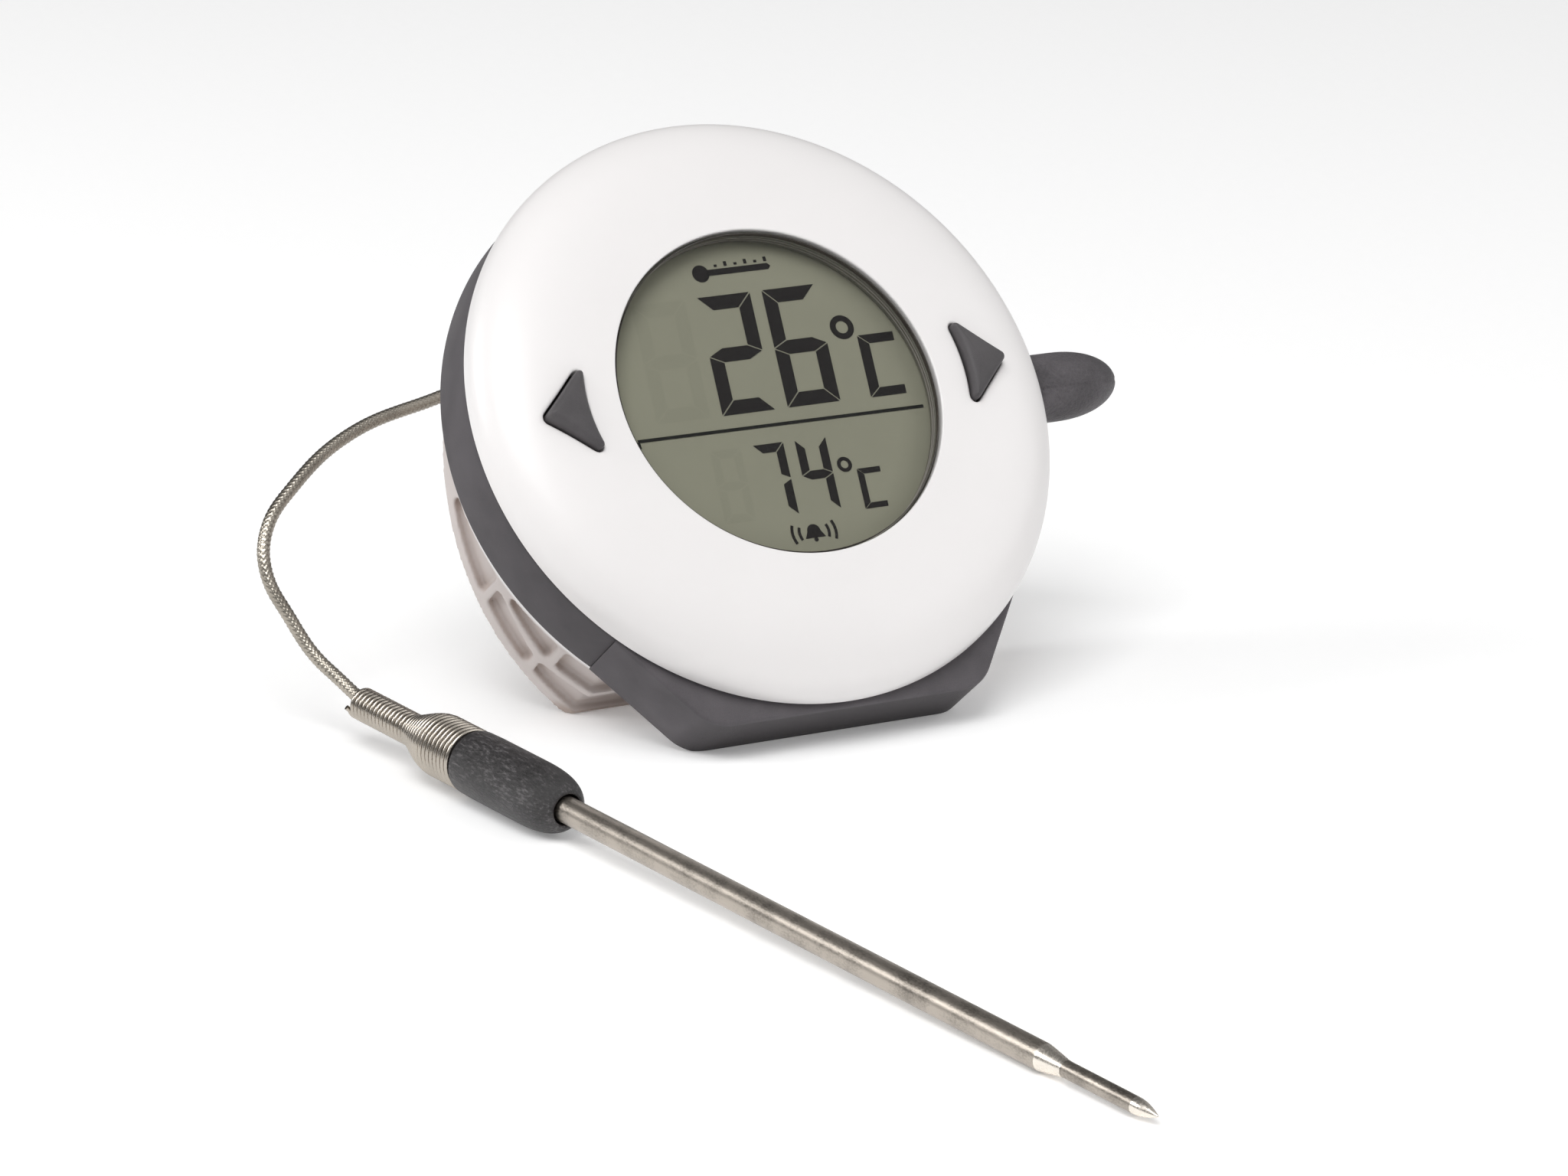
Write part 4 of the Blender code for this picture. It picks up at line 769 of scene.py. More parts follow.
def dome(radius, outer_radius, front, back):
    """Depth of the cover's dome at a radius."""
    share = min(max((radius - WINDOW_RADIUS) / (outer_radius - WINDOW_RADIUS), 0.0), 1.0)
    return front + (back - front) * (1.0 - (1.0 - share ** DOME_POWER) ** (1.0 / DOME_POWER))


def dome_rings(inner_radius, outer_radius, front, back, rings):
    """Dome profile with rings that crowd towards the rounded shoulder."""
    points = []
    for share in crowded(rings):
        radius = inner_radius + (outer_radius - inner_radius) * share
        points.append((radius, dome(radius, outer_radius, front, back)))
    return points


def button_corners(grow, side):
    """Triangle of a button, grown evenly by a distance."""
    slope = math.atan2(BUTTON_HALF, BUTTON_APEX_X - BUTTON_INNER_X)
    apex = BUTTON_APEX_X + grow / math.sin(slope)
    inner = BUTTON_INNER_X - grow
    half = (apex - inner) * math.tan(slope)
    return [(side * inner, -half), (side * apex, 0.0), (side * inner, half)]


def button_outline(grow, side):
    """Rounded outline of a button or of its opening, hollowed on the side of the window."""
    corners = button_corners(grow, side)
    outline = resampled(rounded(corners, BUTTON_CORNER + grow, 8), BUTTON_SPACING)
    half = corners[-1][1]
    hollowed = []
    for x, z in outline:
        share = (BUTTON_APEX_X - abs(x)) / (BUTTON_APEX_X - BUTTON_INNER_X)
        share = min(max(share, 0.0), 1.0)
        push = BUTTON_HOLLOW * share ** 4 * (1.0 - (z / half) ** 2)
        hollowed.append((x + side * push, z + BUTTON_RAISE))
    return hollowed


def outline_normals(outline):
    """Outward unit normals of a closed outline."""
    area = sum(a[0] * b[1] - b[0] * a[1] for a, b in zip(outline, outline[1:] + outline[:1]))
    turn = 1.0 if area > 0.0 else -1.0
    normals = []
    for index, _ in enumerate(outline):
        before = outline[index - 1]
        after = outline[(index + 1) % len(outline)]
        along = Vector((after[0] - before[0], after[1] - before[1])).normalized()
        normals.append((along.y * turn, -along.x * turn))
    return normals


def make_front_cover(mats):
    """White dome with rounded lips at the window, the rear edge and both button openings."""
    lip = WINDOW_LIP
    window_edge = [(WINDOW_RADIUS, SEAT_DEPTH)]
    for step in range(7):
        angle = 0.5 * math.pi * step / 6
        window_edge.append((WINDOW_RADIUS + lip * (1.0 - math.cos(angle)), lip * (1.0 - math.sin(angle))))
    outer = dome_rings(WINDOW_RADIUS + 2.0 * lip, COVER_RADIUS, 0.0, COVER_DEPTH - lip, 44)
    back_edge = [(COVER_RADIUS - lip, COVER_DEPTH)]
    inner = dome_rings(SEAT_RADIUS, COVER_INNER_RADIUS, COVER_WALL, COVER_DEPTH, 16)
    profile = window_edge + outer + back_edge + inner[::-1] + [(SEAT_RADIUS, SEAT_DEPTH)]
    cover = to_object("front_cover_shell", turned_bmesh(profile, "Y", BIG_STEPS))
    cutters = []
    for side in (1, -1):
        outline = button_outline(GAP, side)
        normals = outline_normals(outline)
        rings = [lip_ring(outline, normals, grow * MM, below * MM) for grow, below in BUTTON_LIP]
        deep = [Vector((x, BUTTON_CUT, z)) for x, _, z in rings[-1]]
        cutters.append(loft_bmesh(rings + [deep]))
    combine(cover, cutters, 'DIFFERENCE')
    cover.data.set_sharp_from_angle(angle=math.radians(40.0))
    fit(cover, HEAD, mats["white"], "head", "front_cover")


def lip_ring(outline, normals, grow, below):
    """Outline grown along its normals, laid on the dome and pushed below its surface."""
    points = []
    for (x, z), (nx, nz) in zip(outline, normals):
        px = x + nx * grow
        pz = z + nz * grow
        points.append(Vector((px, dome(math.hypot(px, pz), COVER_RADIUS, 0.0, COVER_DEPTH) + below, pz)))
    return points


def make_buttons(mats):
    """Crowned rubber caps with their flanges."""
    for name, side in (("left", -1), ("right", 1)):
        base = button_outline(0.0, side)
        normals = outline_normals(base)
        centre = Vector((side * (BUTTON_INNER_X + 0.4 * (BUTTON_APEX_X - BUTTON_INNER_X)), BUTTON_RAISE))
        steps = [(0.7, BUTTON_BACK - 0.1 * MM), (0.7, BUTTON_FLANGE_FRONT),
                 (0.0, BUTTON_FLANGE_FRONT - 0.05 * MM)]
        steps += [(grow, BUTTON_TOP + below * MM) for grow, below in BUTTON_EDGE]
        rings = [[(x + nx * grow * MM, depth, z + nz * grow * MM) for (x, z), (nx, nz) in zip(base, normals)]
                 for grow, depth in steps]
        last = rings[-1]
        for scale, below in BUTTON_CROWN:
            rings.append([(centre.x + (x - centre.x) * scale, BUTTON_TOP + below * MM,
                           centre.y + (z - centre.y) * scale) for x, _, z in last])
        cap = to_object(f"button_{name}_cap", loft_bmesh(rings), HEAD, mats["button"])
        place_on(cap, f"button_{name}", f"button_cap_{name}")


# ---------------------------------------------------------------- display

def make_window(mats):
    """Lens with a bevelled rim and its dark edge, the bezel, and the LCD behind them."""
    rim = WINDOW_RADIUS - GAP
    flat = rim - LENS_BEVEL
    lens = [(0.0, LENS_FRONT), (flat, LENS_FRONT), (rim - 0.05 * MM, LENS_FRONT + 0.42 * MM),
            (rim, LENS_FRONT + 0.47 * MM), (rim, SEAT_DEPTH), (0.0, SEAT_DEPTH)]
    turned_part("lens_clear", lens, mats["lens"], "head", "window_lens")
    edge = rectangle(rim - 0.09 * MM, rim - 0.02 * MM, LENS_FRONT + 0.5 * MM, SEAT_DEPTH - 0.02 * MM)
    turned_part("lens_edge_ring", edge, mats["edge"], "head")
    front = SEAT_DEPTH + GAP
    bezel = [(BEZEL_INNER + 0.1 * MM, front), (BEZEL_RADIUS, front), (BEZEL_RADIUS, BEZEL_BACK),
             (BEZEL_INNER, BEZEL_BACK), (BEZEL_INNER, front + 0.1 * MM)]
    turned_part("bezel_ring", bezel, mats["bezel"], "head", "window_bezel")
    # Two pale rings on the bezel wall, painted highlights for the light that the lens edge refracts
    for number, level in enumerate(HIGHLIGHT_LINE_LEVELS, start=1):
        line = rectangle(BEZEL_INNER - 0.07 * MM, BEZEL_INNER + 0.05 * MM, level, level + 0.16 * MM)
        turned_part(f"painted_highlight_line_{number}", line, mats["line"], "head")
    step = (LCD_FRONT + LCD_BACK) / 2.0
    cell = [(0.0, LCD_FRONT), (LCD_RADIUS, LCD_FRONT), (LCD_RADIUS, step), (LCD_REAR_RADIUS, step),
            (LCD_REAR_RADIUS, LCD_BACK), (0.0, LCD_BACK)]
    turned_part("lcd_cell", cell, mats["lcd"], "head", "lcd_panel")


def shrunk(polygon, distance):
    """Convex polygon with every side moved inwards by a distance."""
    points = [Vector(point) for point in polygon]
    middle = sum(points, Vector((0.0, 0.0))) / len(points)
    lines = []
    for index, start in enumerate(points):
        along = (points[(index + 1) % len(points)] - start).normalized()
        inward = Vector((-along.y, along.x))
        if inward.dot(middle - start) < 0.0:
            inward = -inward
        lines.append((start + inward * distance, along))
    result = []
    for index, (start, along) in enumerate(lines):
        other_start, other_along = lines[index - 1]
        cross = other_along.x * along.y - other_along.y * along.x
        offset = start - other_start
        share = (offset.x * along.y - offset.y * along.x) / cross
        result.append(tuple(other_start + other_along * share))
    return result


DIGITS = {"2": "abged", "4": "fgbc", "6": "afgedc", "7": "abc", "8": "abcdefg"}


def digit_segments(digit, width, height, stroke):
    """Segment polygons of a digit in its own upright cell."""
    half = height / 2.0
    inner = stroke / 2.0
    left, right, low, high = stroke, width - stroke, stroke, height - stroke
    shapes = {
        "a": [(0.0, height), (width, height), (right, high), (left, high)],
        "b": [(width, half), (width, height), (right, high), (right, half + inner)],
        "c": [(width, half), (width, 0.0), (right, low), (right, half - inner)],
        "d": [(0.0, 0.0), (width, 0.0), (right, low), (left, low)],
        "e": [(0.0, half), (0.0, 0.0), (left, low), (left, half - inner)],
        "f": [(0.0, half), (0.0, height), (left, high), (left, half + inner)],
        "g": [(0.0, half), (left, half + inner), (right, half + inner), (width, half),
              (right, half - inner), (left, half - inner)],
    }
    return [shapes[key] for key in DIGITS[digit]]


def letter_c(width, height, bar, post):
    """The unit letter, drawn with three bars."""
    return [[(0.0, height), (width, height), (width, height - bar), (post, height - bar)],
            [(0.0, 0.0), (0.0, height), (post, height - bar), (post, bar)],
            [(0.0, 0.0), (post, bar), (width, bar), (width, 0.0)]]


def slanted(polygons, x, z, slant, gap):
    """Polygons with a gap between them, leaned over and moved into place."""
    result = []
    for polygon in polygons:
        result.append([(x + px + slant * pz, z + pz) for px, pz in shrunk(polygon, gap)])
    return result


def ring_polygons(x, z, outer, inner, angles=np.linspace(0.0, 2.0 * math.pi, 25), side=1.0):
    """A flat ring, or an arc of one on either side, as a row of small quads."""
    shapes = []
    for first, last in zip(angles, angles[1:]):
        corners = [(outer, first), (outer, last), (inner, last), (inner, first)]
        shapes.append([(x + side * radius * math.cos(angle), z + radius * math.sin(angle))
                       for radius, angle in corners])
    return shapes


def flat_glyphs(name, polygons, mats, finish, depth):
    """Thin solids on the face of the display."""
    thickness = 0.04 * MM
    solids = [prism_bmesh([(x * MM, z * MM) for x, z in polygon], depth - thickness, depth)
              for polygon in polygons]
    item = to_object(name, solids, HEAD, mats[finish])
    return place_on(item, "head")


def disc_polygon(x, z, radius, steps=24):
    """A filled circle."""
    return [(x + radius * math.cos(2.0 * math.pi * step / steps),
             z + radius * math.sin(2.0 * math.pi * step / steps)) for step in range(steps)]


def thermometer_icon(x, z):
    """Small lying thermometer with tick marks, above the large reading."""
    half = 0.42
    stem = [(x - 3.7, z - half), (x + 5.2, z - half), (x + 5.6, z), (x + 5.2, z + half), (x - 3.7, z + half)]
    shapes = [disc_polygon(x - 4.6, z, 1.2), stem]
    for tick in range(6):
        left = x - 2.4 + tick * 1.45
        shapes.append(rectangle(left, left + 0.42, z + 0.72, z + (1.35 if tick % 2 else 1.05)))
    return shapes


def bell_icon(x, z):
    """Small bell between two pairs of sound waves, under the alarm reading."""
    dome_points = [(x + 0.95 * math.cos(angle), z + 0.15 + 0.95 * math.sin(angle))
                   for angle in np.linspace(0.0, math.pi, 13)]
    shapes = [[(x + 1.45, z - 0.75)] + dome_points + [(x - 1.45, z - 0.75)]]
    shapes.append(disc_polygon(x, z - 1.0, 0.3, 12))
    for side in (-1.0, 1.0):
        for reach in (2.3, 3.3):
            shapes += ring_polygons(x, z, reach, reach - 0.38, np.linspace(-0.42, 0.42, 7), side)
    return shapes


def make_display(mats):
    """Readings, icons and the printed line on the LCD, sizes in millimetres."""
    slant = 0.09
    big = {"width": 7.9, "height": 16.7, "stroke": 2.1}
    small = {"width": 4.6, "height": 10.2, "stroke": 1.35}
    lit = []
    for digit, x in (("2", -7.45), ("6", 2.05)):
        lit += slanted(digit_segments(digit, **big), x, -1.4, slant, 0.09)
    lit += slanted(letter_c(5.4, 8.9, 1.4, 1.65), 14.3, -1.5, slant, 0.08)
    lit += ring_polygons(13.4, 8.75, 1.7, 0.88)
    for digit, x in (("7", -5.55), ("4", 0.6)):
        lit += slanted(digit_segments(digit, **small), x, -16.0, slant, 0.08)
    lit += slanted(letter_c(3.45, 5.65, 0.85, 1.0), 8.5, -16.5, slant, 0.05)
    lit += ring_polygons(7.55, -10.05, 1.05, 0.55)
    lit += thermometer_icon(0.4, 18.5)
    lit += bell_icon(0.3, -18.6)
    flat_glyphs("lcd_segments", lit, mats, "segment", LCD_FRONT - 0.04 * MM)
    ghosts = []
    for x, z, size in ((-16.9, -1.4, big), (-11.7, -16.0, small)):
        ghosts += slanted(digit_segments("8", **size), x, z, slant, 0.09)
    flat_glyphs("lcd_ghosts", ghosts, mats, "ghost", LCD_FRONT + 0.035 * MM)
    line = [[(-20.2, -3.48), (21.4, -3.74), (21.4, -3.32), (-20.2, -3.06)],
            rectangle(-20.3, -19.95, -4.3, -3.4)]
    flat_glyphs("lcd_divider", line, mats, "print", LCD_FRONT - 0.06 * MM)


# ---------------------------------------------------------------- band and foot

def make_band(mats):
    """Rubber bumper band, open at the bottom, with soft edges and the socket opening."""
    edge = 0.5 * MM
    profile = rounded([(BAND_INNER, BAND_FRONT), (BAND_INNER, BAND_BACK),
                       (BAND_RADIUS, BAND_BACK), (BAND_RADIUS, BAND_FRONT)], edge, 4)
    seam = SEAM_ANGLE + SEAM_GAP / BAND_INNER / 2.0
    sweep = math.pi - 2.0 * seam
    band = to_object("band_strip", turned_bmesh(profile, "Y", 200, True, seam, sweep))
    combine(band, socket_hole(SOCKET_COLLAR + 0.6 * MM, 30 * MM), 'DIFFERENCE')
    fit(band, HEAD, mats["rubber"], "head", "rubber_band")


def table_height(depth):
    """Height, along the face, of the table plane at a depth."""
    return (depth * math.sin(LEAN) - WINDOW_HEIGHT) / math.cos(LEAN)


def foot_outline():
    """Foot block: under the head, with straight flanks tangent to the band."""
    seam = SEAM_ANGLE - SEAM_GAP / BAND_INNER / 2.0
    flank = math.pi / 2.0 + FOOT_SIDE_ANGLE
    corner_x = (BAND_RADIUS - FOOT_DROP * math.sin(-FOOT_SIDE_ANGLE)) / math.cos(FOOT_SIDE_ANGLE)
    tangent = FOOT_CORNER * math.tan(flank / 2.0)
    centre = Vector((corner_x - tangent, -FOOT_DROP + FOOT_CORNER))
    inner = arc(BAND_INNER, -math.pi - seam, seam, 80)
    reach = BAND_RADIUS / math.cos(seam - FOOT_SIDE_ANGLE)
    flank_start = Vector((math.cos(seam), math.sin(seam))) * reach
    bend = arc(FOOT_CORNER, FOOT_SIDE_ANGLE, -math.pi / 2.0, 20)
    right = [tuple(flank_start)] + [tuple(centre + Vector(point)) for point in bend]
    return inner + right + [(-x, z) for x, z in right[::-1]]


def soften_foot(foot):
    """Round the sharp edges of the foot, except those that meet the band at the seams."""
    mesh = foot.data
    weights = mesh.attributes.new("bevel_weight_edge", 'FLOAT', 'EDGE')
    bm = bmesh.new()
    bm.from_mesh(mesh)
    bm.normal_update()
    seam = math.radians(90.0) + SEAM_ANGLE
    values = []
    for edge in bm.edges:
        angles = [abs(math.atan2(abs(vert.co.x), -vert.co.z) - seam) for vert in edge.verts]
        at_seam = max(angles) < math.radians(1.2)
        sharp = edge.calc_face_angle(0.0) > math.radians(40.0)
        values.append(1.0 if sharp and not at_seam else 0.0)
    bm.free()
    weights.data.foreach_set("value", values)
    soften_edges(foot, 0.45 * MM, 4)


def make_foot(mats):
    """Rubber foot with softened edges, flat where it stands on the table."""
    foot = to_object("foot_pad", prism_bmesh(foot_outline(), BAND_FRONT, BAND_BACK))
    soften_foot(foot)
    front = BAND_FRONT - 1 * MM
    back = BAND_BACK + 1 * MM
    below = [(front, table_height(front)), (back, table_height(back)), (back, -60 * MM), (front, -60 * MM)]
    combine(foot, prism_bmesh(below, -30 * MM, 30 * MM, "YZ"), 'DIFFERENCE')
    fit(foot, HEAD, mats["foot"], "head", "foot_block")


# ---------------------------------------------------------------- rear housing

def rear_plane(height):
    """Depth of the sloping rear face at a height on the face."""
    return REAR_DEPTH - math.tan(REAR_SLOPE) * height


def side_profile(grow, back_grow, top_back, ledge_back, front):
    """Housing seen from the side; a positive grow takes it inwards, for the hollow."""
    chord = -CHORD_DROP + grow
    shift = back_grow / math.cos(REAR_SLOPE)
    slope = math.tan(REAR_SLOPE)
    top_z = (REAR_DEPTH - shift - top_back) / slope
    outline = [(front, OUTSIDE), (top_back, OUTSIDE), (top_back, top_z)]
    if grow > 0.0:
        outline.append((REAR_DEPTH - shift - slope * chord, chord))
    else:
        rest = math.tan(LEAN)
        start = table_height(0.0)
        low_z = (start + rest * REAR_DEPTH) / (1.0 + rest * slope)
        outline.append((rear_plane(low_z), low_z))
        outline.append(((chord - start) / rest, chord))
    return outline + [(ledge_back, chord), (ledge_back, -OUTSIDE), (front, -OUTSIDE)]


def wall_point(along, depth, offset):
    """Point on the housing wall: along runs from the lower corner, negative up the round side."""
    radius = HOUSING_RADIUS + offset
    drop = CHORD_DROP + offset
    corner_x = math.sqrt(radius ** 2 - drop ** 2)
    flat = math.sqrt(HOUSING_RADIUS ** 2 - CHORD_DROP ** 2)
    if along > 0.0:
        return Vector((-corner_x * (1.0 - along / flat), depth, -drop))
    angle = math.atan2(-drop, -corner_x) + along / HOUSING_RADIUS
    return Vector((radius * math.cos(angle), depth, radius * math.sin(angle)))


def wall_pocket(corners, side):
    """Cutter for one pocket: a flat rounded outline, folded around the housing wall."""
    bm = prism_bmesh(rounded(corners, POCKET_CORNER, 5), -POCKET_DEPTH, 1.0 * MM, "XZ")
    low = min(point[0] for point in corners)
    high = max(point[0] for point in corners)
    fold = 1.0 * MM
    for index in range(math.ceil(low / fold), 1):
        if low < index * fold < high:
            bmesh.ops.bisect_plane(bm, geom=bm.verts[:] + bm.edges[:] + bm.faces[:],
                                   plane_co=(index * fold, 0.0, 0.0), plane_no=(1.0, 0.0, 0.0))
    for vert in bm.verts:
        along, offset, depth = vert.co
        vert.co = wall_point(along, depth, offset)
        vert.co.x *= side
    bmesh.ops.triangulate(bm, faces=bm.faces)
    return bm


def rear_limit(along):
    """Deepest place of a pocket: a margin in front of the sloping rear face."""
    return rear_plane(wall_point(along, 0.0, 0.0).z) - POCKET_REAR_MARGIN


def pocket_corners():
    """The lattice on one side, from the top of the round wall to the middle of the flat."""
    top = -31.0 * MM
    first_rib = -18.5 * MM
    rear_rib = -8.2 * MM
    front_rib = -6.6 * MM
    flat_rib = 12.0 * MM
    middle = 25.1 * MM
    half = POCKET_RIB / 2.0
    wedge = first_rib + 1.9 * MM
    low_limit = rear_limit(1 * MM)
    return [
        [(top, POCKET_FRONT), (first_rib - half, POCKET_FRONT),
         (first_rib - half, rear_limit(first_rib)), (top, rear_limit(top))],
        [(first_rib + half, POCKET_FRONT + 1.2 * MM), (rear_rib - half, MID_RIB_BACK),
         (rear_rib - half, rear_limit(rear_rib)), (first_rib + half, rear_limit(first_rib))],
        [(wedge, POCKET_FRONT), (front_rib - half, POCKET_FRONT),
         (front_rib - half, MID_RIB_FRONT), (wedge + 1.2 * MM, POCKET_FRONT + 1.5 * MM)],
        [(rear_rib + half, MID_RIB_BACK), (flat_rib - half, MID_RIB_BACK),
         (flat_rib - half, low_limit), (0.0, rear_limit(0.0)),
         (rear_rib + half, rear_limit(rear_rib))],
        rectangle(front_rib + half, flat_rib - half, POCKET_FRONT, MID_RIB_FRONT),
        rectangle(flat_rib + half, middle, MID_RIB_BACK, low_limit),
        rectangle(flat_rib + half, middle, POCKET_FRONT, MID_RIB_FRONT),
    ]


def make_housing(mats):
    """Wedge-shaped rear housing with its lattice, bay, slots and screw wells, softly moulded."""
    neck = [(0.0, BAND_FRONT), (HOUSING_NECK, BAND_FRONT), (HOUSING_NECK, HOUSING_SHOULDER),
            (HOUSING_RADIUS, HOUSING_SHOULDER), (HOUSING_RADIUS, OUTSIDE), (0.0, OUTSIDE)]
    housing = to_object("housing_shell", turned_bmesh(neck, "Y", BIG_STEPS, False))
    shape = side_profile(0.0, 0.0, HOUSING_TOP_BACK, LEDGE_BACK, 5 * MM)
    combine(housing, prism_bmesh(shape, -OUTSIDE, OUTSIDE, "YZ"), 'INTERSECT')
    inner_neck = HOUSING_NECK - HOUSING_WALL
    inner_wall = HOUSING_RADIUS - HOUSING_WALL
    step = 14.5 * MM
    hollow = [(0.0, 5 * MM), (inner_neck, 5 * MM), (inner_neck, step), (inner_wall, step),
              (inner_wall, OUTSIDE), (0.0, OUTSIDE)]
    cavity = to_object("cavity", turned_bmesh(hollow, "Y", MID_STEPS, False))
    inside = side_profile(HOUSING_WALL, HOUSING_BACK_WALL, HOUSING_TOP_BACK - HOUSING_WALL,
                          LEDGE_BACK - HOUSING_WALL, 3 * MM)
    combine(cavity, prism_bmesh(inside, -OUTSIDE, OUTSIDE, "YZ"), 'INTERSECT')
    cavity_mesh = bmesh.new()
    cavity_mesh.from_mesh(cavity.data)
    bpy.data.objects.remove(cavity)
    combine(housing, cavity_mesh, 'DIFFERENCE')
    boss = rectangle(0.0, BOSS_RADIUS, BOSS_FRONT, BOSS_BACK)
    combine(housing, copies(boss, SCREW_PLACES), 'UNION')
    housing.data.transform(HEAD)

    within = -HOUSING_BACK_WALL / 2.0
    pad_back = -HOUSING_BACK_WALL - 1.6 * MM
    pad = rectangle(0.0, MAGNET_RADIUS + 2 * MM, pad_back, within)
    inserts = [box_bmesh((-BAY_HALF - BAY_WALL, BAY_HALF + BAY_WALL), (-BAY_DEPTH - BAY_WALL, within),
                         (BAY_LOW - BAY_WALL, BAY_HIGH + BAY_WALL))]
    combine(housing, inserts + copies(pad, MAGNET_PLACES), 'UNION', REAR)

    bore = [(0.0, 5 * MM), (SCREW_HOLE, 5 * MM), (SCREW_HOLE, HEAD_SEAT), (SCREW_WELL, HEAD_SEAT),
            (SCREW_WELL, 20 * MM), (0.0, 20 * MM)]
    cuts = copies(bore, SCREW_PLACES) + [socket_hole(SOCKET_COLLAR + 0.5 * MM, 33 * MM)]
    combine(housing, cuts, 'DIFFERENCE', HEAD)

    recess = COVER_PLATE + GAP
    floor = -MAGNET_THICKNESS - 2.0 * GAP
    seat = rectangle(0.0, MAGNET_RADIUS + GAP, floor, 5 * MM)
    rear_cuts = copies(seat, MAGNET_PLACES)
    slot_x = (KNOB_WIDTH + KNOB_TRAVEL) / 2.0 + GAP
    slot_z = KNOB_HEIGHT / 2.0 + GAP
    for side in (1, -1):
        middle = side * KNOB_X
        rear_cuts.append(box_bmesh((middle - slot_x, middle + slot_x), (-6 * MM, 5 * MM),
                                   (REAR_ROW - slot_z, REAR_ROW + slot_z)))
        well = rectangle(middle - WELL_HALF, middle + WELL_HALF, REAR_ROW - WELL_RISE, REAR_ROW + WELL_RISE)
        rear_cuts.append(prism_bmesh(rounded(well, 1.4 * MM, 5), -0.7 * MM, 3 * MM))
    combine(housing, rear_cuts, 'DIFFERENCE', REAR)
    combine(housing, box_bmesh((-BAY_HALF, BAY_HALF), (-BAY_DEPTH, 4 * MM), (BAY_LOW, BAY_HIGH)),
            'DIFFERENCE', REAR)
    combine(housing, box_bmesh((-COVER_HALF - GAP, COVER_HALF + GAP), (-recess, 5 * MM),
                               (COVER_LOW - GAP, COVER_HIGH + GAP)), 'DIFFERENCE', REAR)
    pockets = [wall_pocket(corners, side) for corners in pocket_corners() for side in (1, -1)]
    combine(housing, pockets, 'DIFFERENCE', HEAD)
    mould(housing, voxel=0.25 * MM, rounds=4)
    housing.data.materials.append(mats["housing"])
    place_on(housing, "head", "rear_housing")


def make_rear_fittings(mats):
    """Battery cover, magnets, switch knobs and screws."""
    low, high = COVER_LOW, COVER_HIGH
    outline = rounded(rectangle(-COVER_HALF, COVER_HALF, low, high), 0.9 * MM, 5)
    plate = to_object("battery_door_plate", prism_bmesh(outline, -COVER_PLATE, 0.0))
    grips = []
    for index in range(5):
        level = low + (2.2 + 1.3 * index) * MM
        half = (9.0 - index * 1.1) * MM
        bar = rounded(rectangle(-half, half, level - 0.35 * MM, level + 0.35 * MM), 0.3 * MM, 4)
        grips.append(prism_bmesh(bar, -0.55 * MM, 1.0 * MM))
    combine(plate, grips, 'DIFFERENCE')
    catch = box_bmesh((-5 * MM, 5 * MM), (-3.3 * MM, -0.7 * MM), (BAY_LOW + GAP, BAY_LOW + GAP + 1 * MM))
    combine(plate, catch, 'UNION')
    mould(plate, voxel=0.2 * MM, rounds=4)
    fit(plate, REAR, mats["housing"], "battery_door", "battery_cover")

    face = -0.1 * MM
    disc = [(0.0, face - MAGNET_THICKNESS), (MAGNET_RADIUS, face - MAGNET_THICKNESS),
            (MAGNET_RADIUS, face - 0.35 * MM), (MAGNET_RADIUS - 0.1 * MM, face - 0.1 * MM),
            (MAGNET_RADIUS - 0.35 * MM, face), (0.0, face)]
    for name, side in (("left", -1), ("right", 1)):
        place = REAR @ Matrix.Translation((side * MAGNET_X, 0.0, REAR_ROW))
        turned_part(f"magnet_disc_{name}", disc, mats["nickel"], "head", f"magnet_{name}",
                    steps=MID_STEPS, place=place)
    for name, side in (("power", 1), ("unit", -1)):
        make_knob(name, side, mats)
    for index, (x, z) in enumerate(SCREW_PLACES, start=1):
        make_screw(index, x, z, mats)


def make_knob(name, side, mats):
    """Slide knob with three grip ridges."""
    top = -HOUSING_BACK_WALL - GAP - 1.3 * MM
    middle = side * KNOB_X - KNOB_TRAVEL / 2.0
    half = KNOB_WIDTH / 2.0
    tall = KNOB_HEIGHT / 2.0
    outline = [(middle - half, top), (middle + half, top), (middle + half, -0.3 * MM)]
    ridges = 4
    for ridge in range(ridges):
        right = middle + half - ridge * KNOB_WIDTH / ridges
        deep = right - 0.28 * KNOB_WIDTH / ridges
        outline += [(deep, -0.3 * MM), (deep - 0.05 * MM, -0.6 * MM),
                    (right - 0.75 * KNOB_WIDTH / ridges, -0.6 * MM),
                    (right - 0.82 * KNOB_WIDTH / ridges, -0.3 * MM)]
    outline.append((middle - half, -0.3 * MM))
    knob = to_object(f"{name}_knob_grip", prism_bmesh(outline, REAR_ROW - tall, REAR_ROW + tall, "XY"))
    soften_edges(knob, 0.06 * MM, 2, 30.0)
    fit(knob, REAR, mats["dark"], f"{name}_knob", f"{name}_switch_knob")


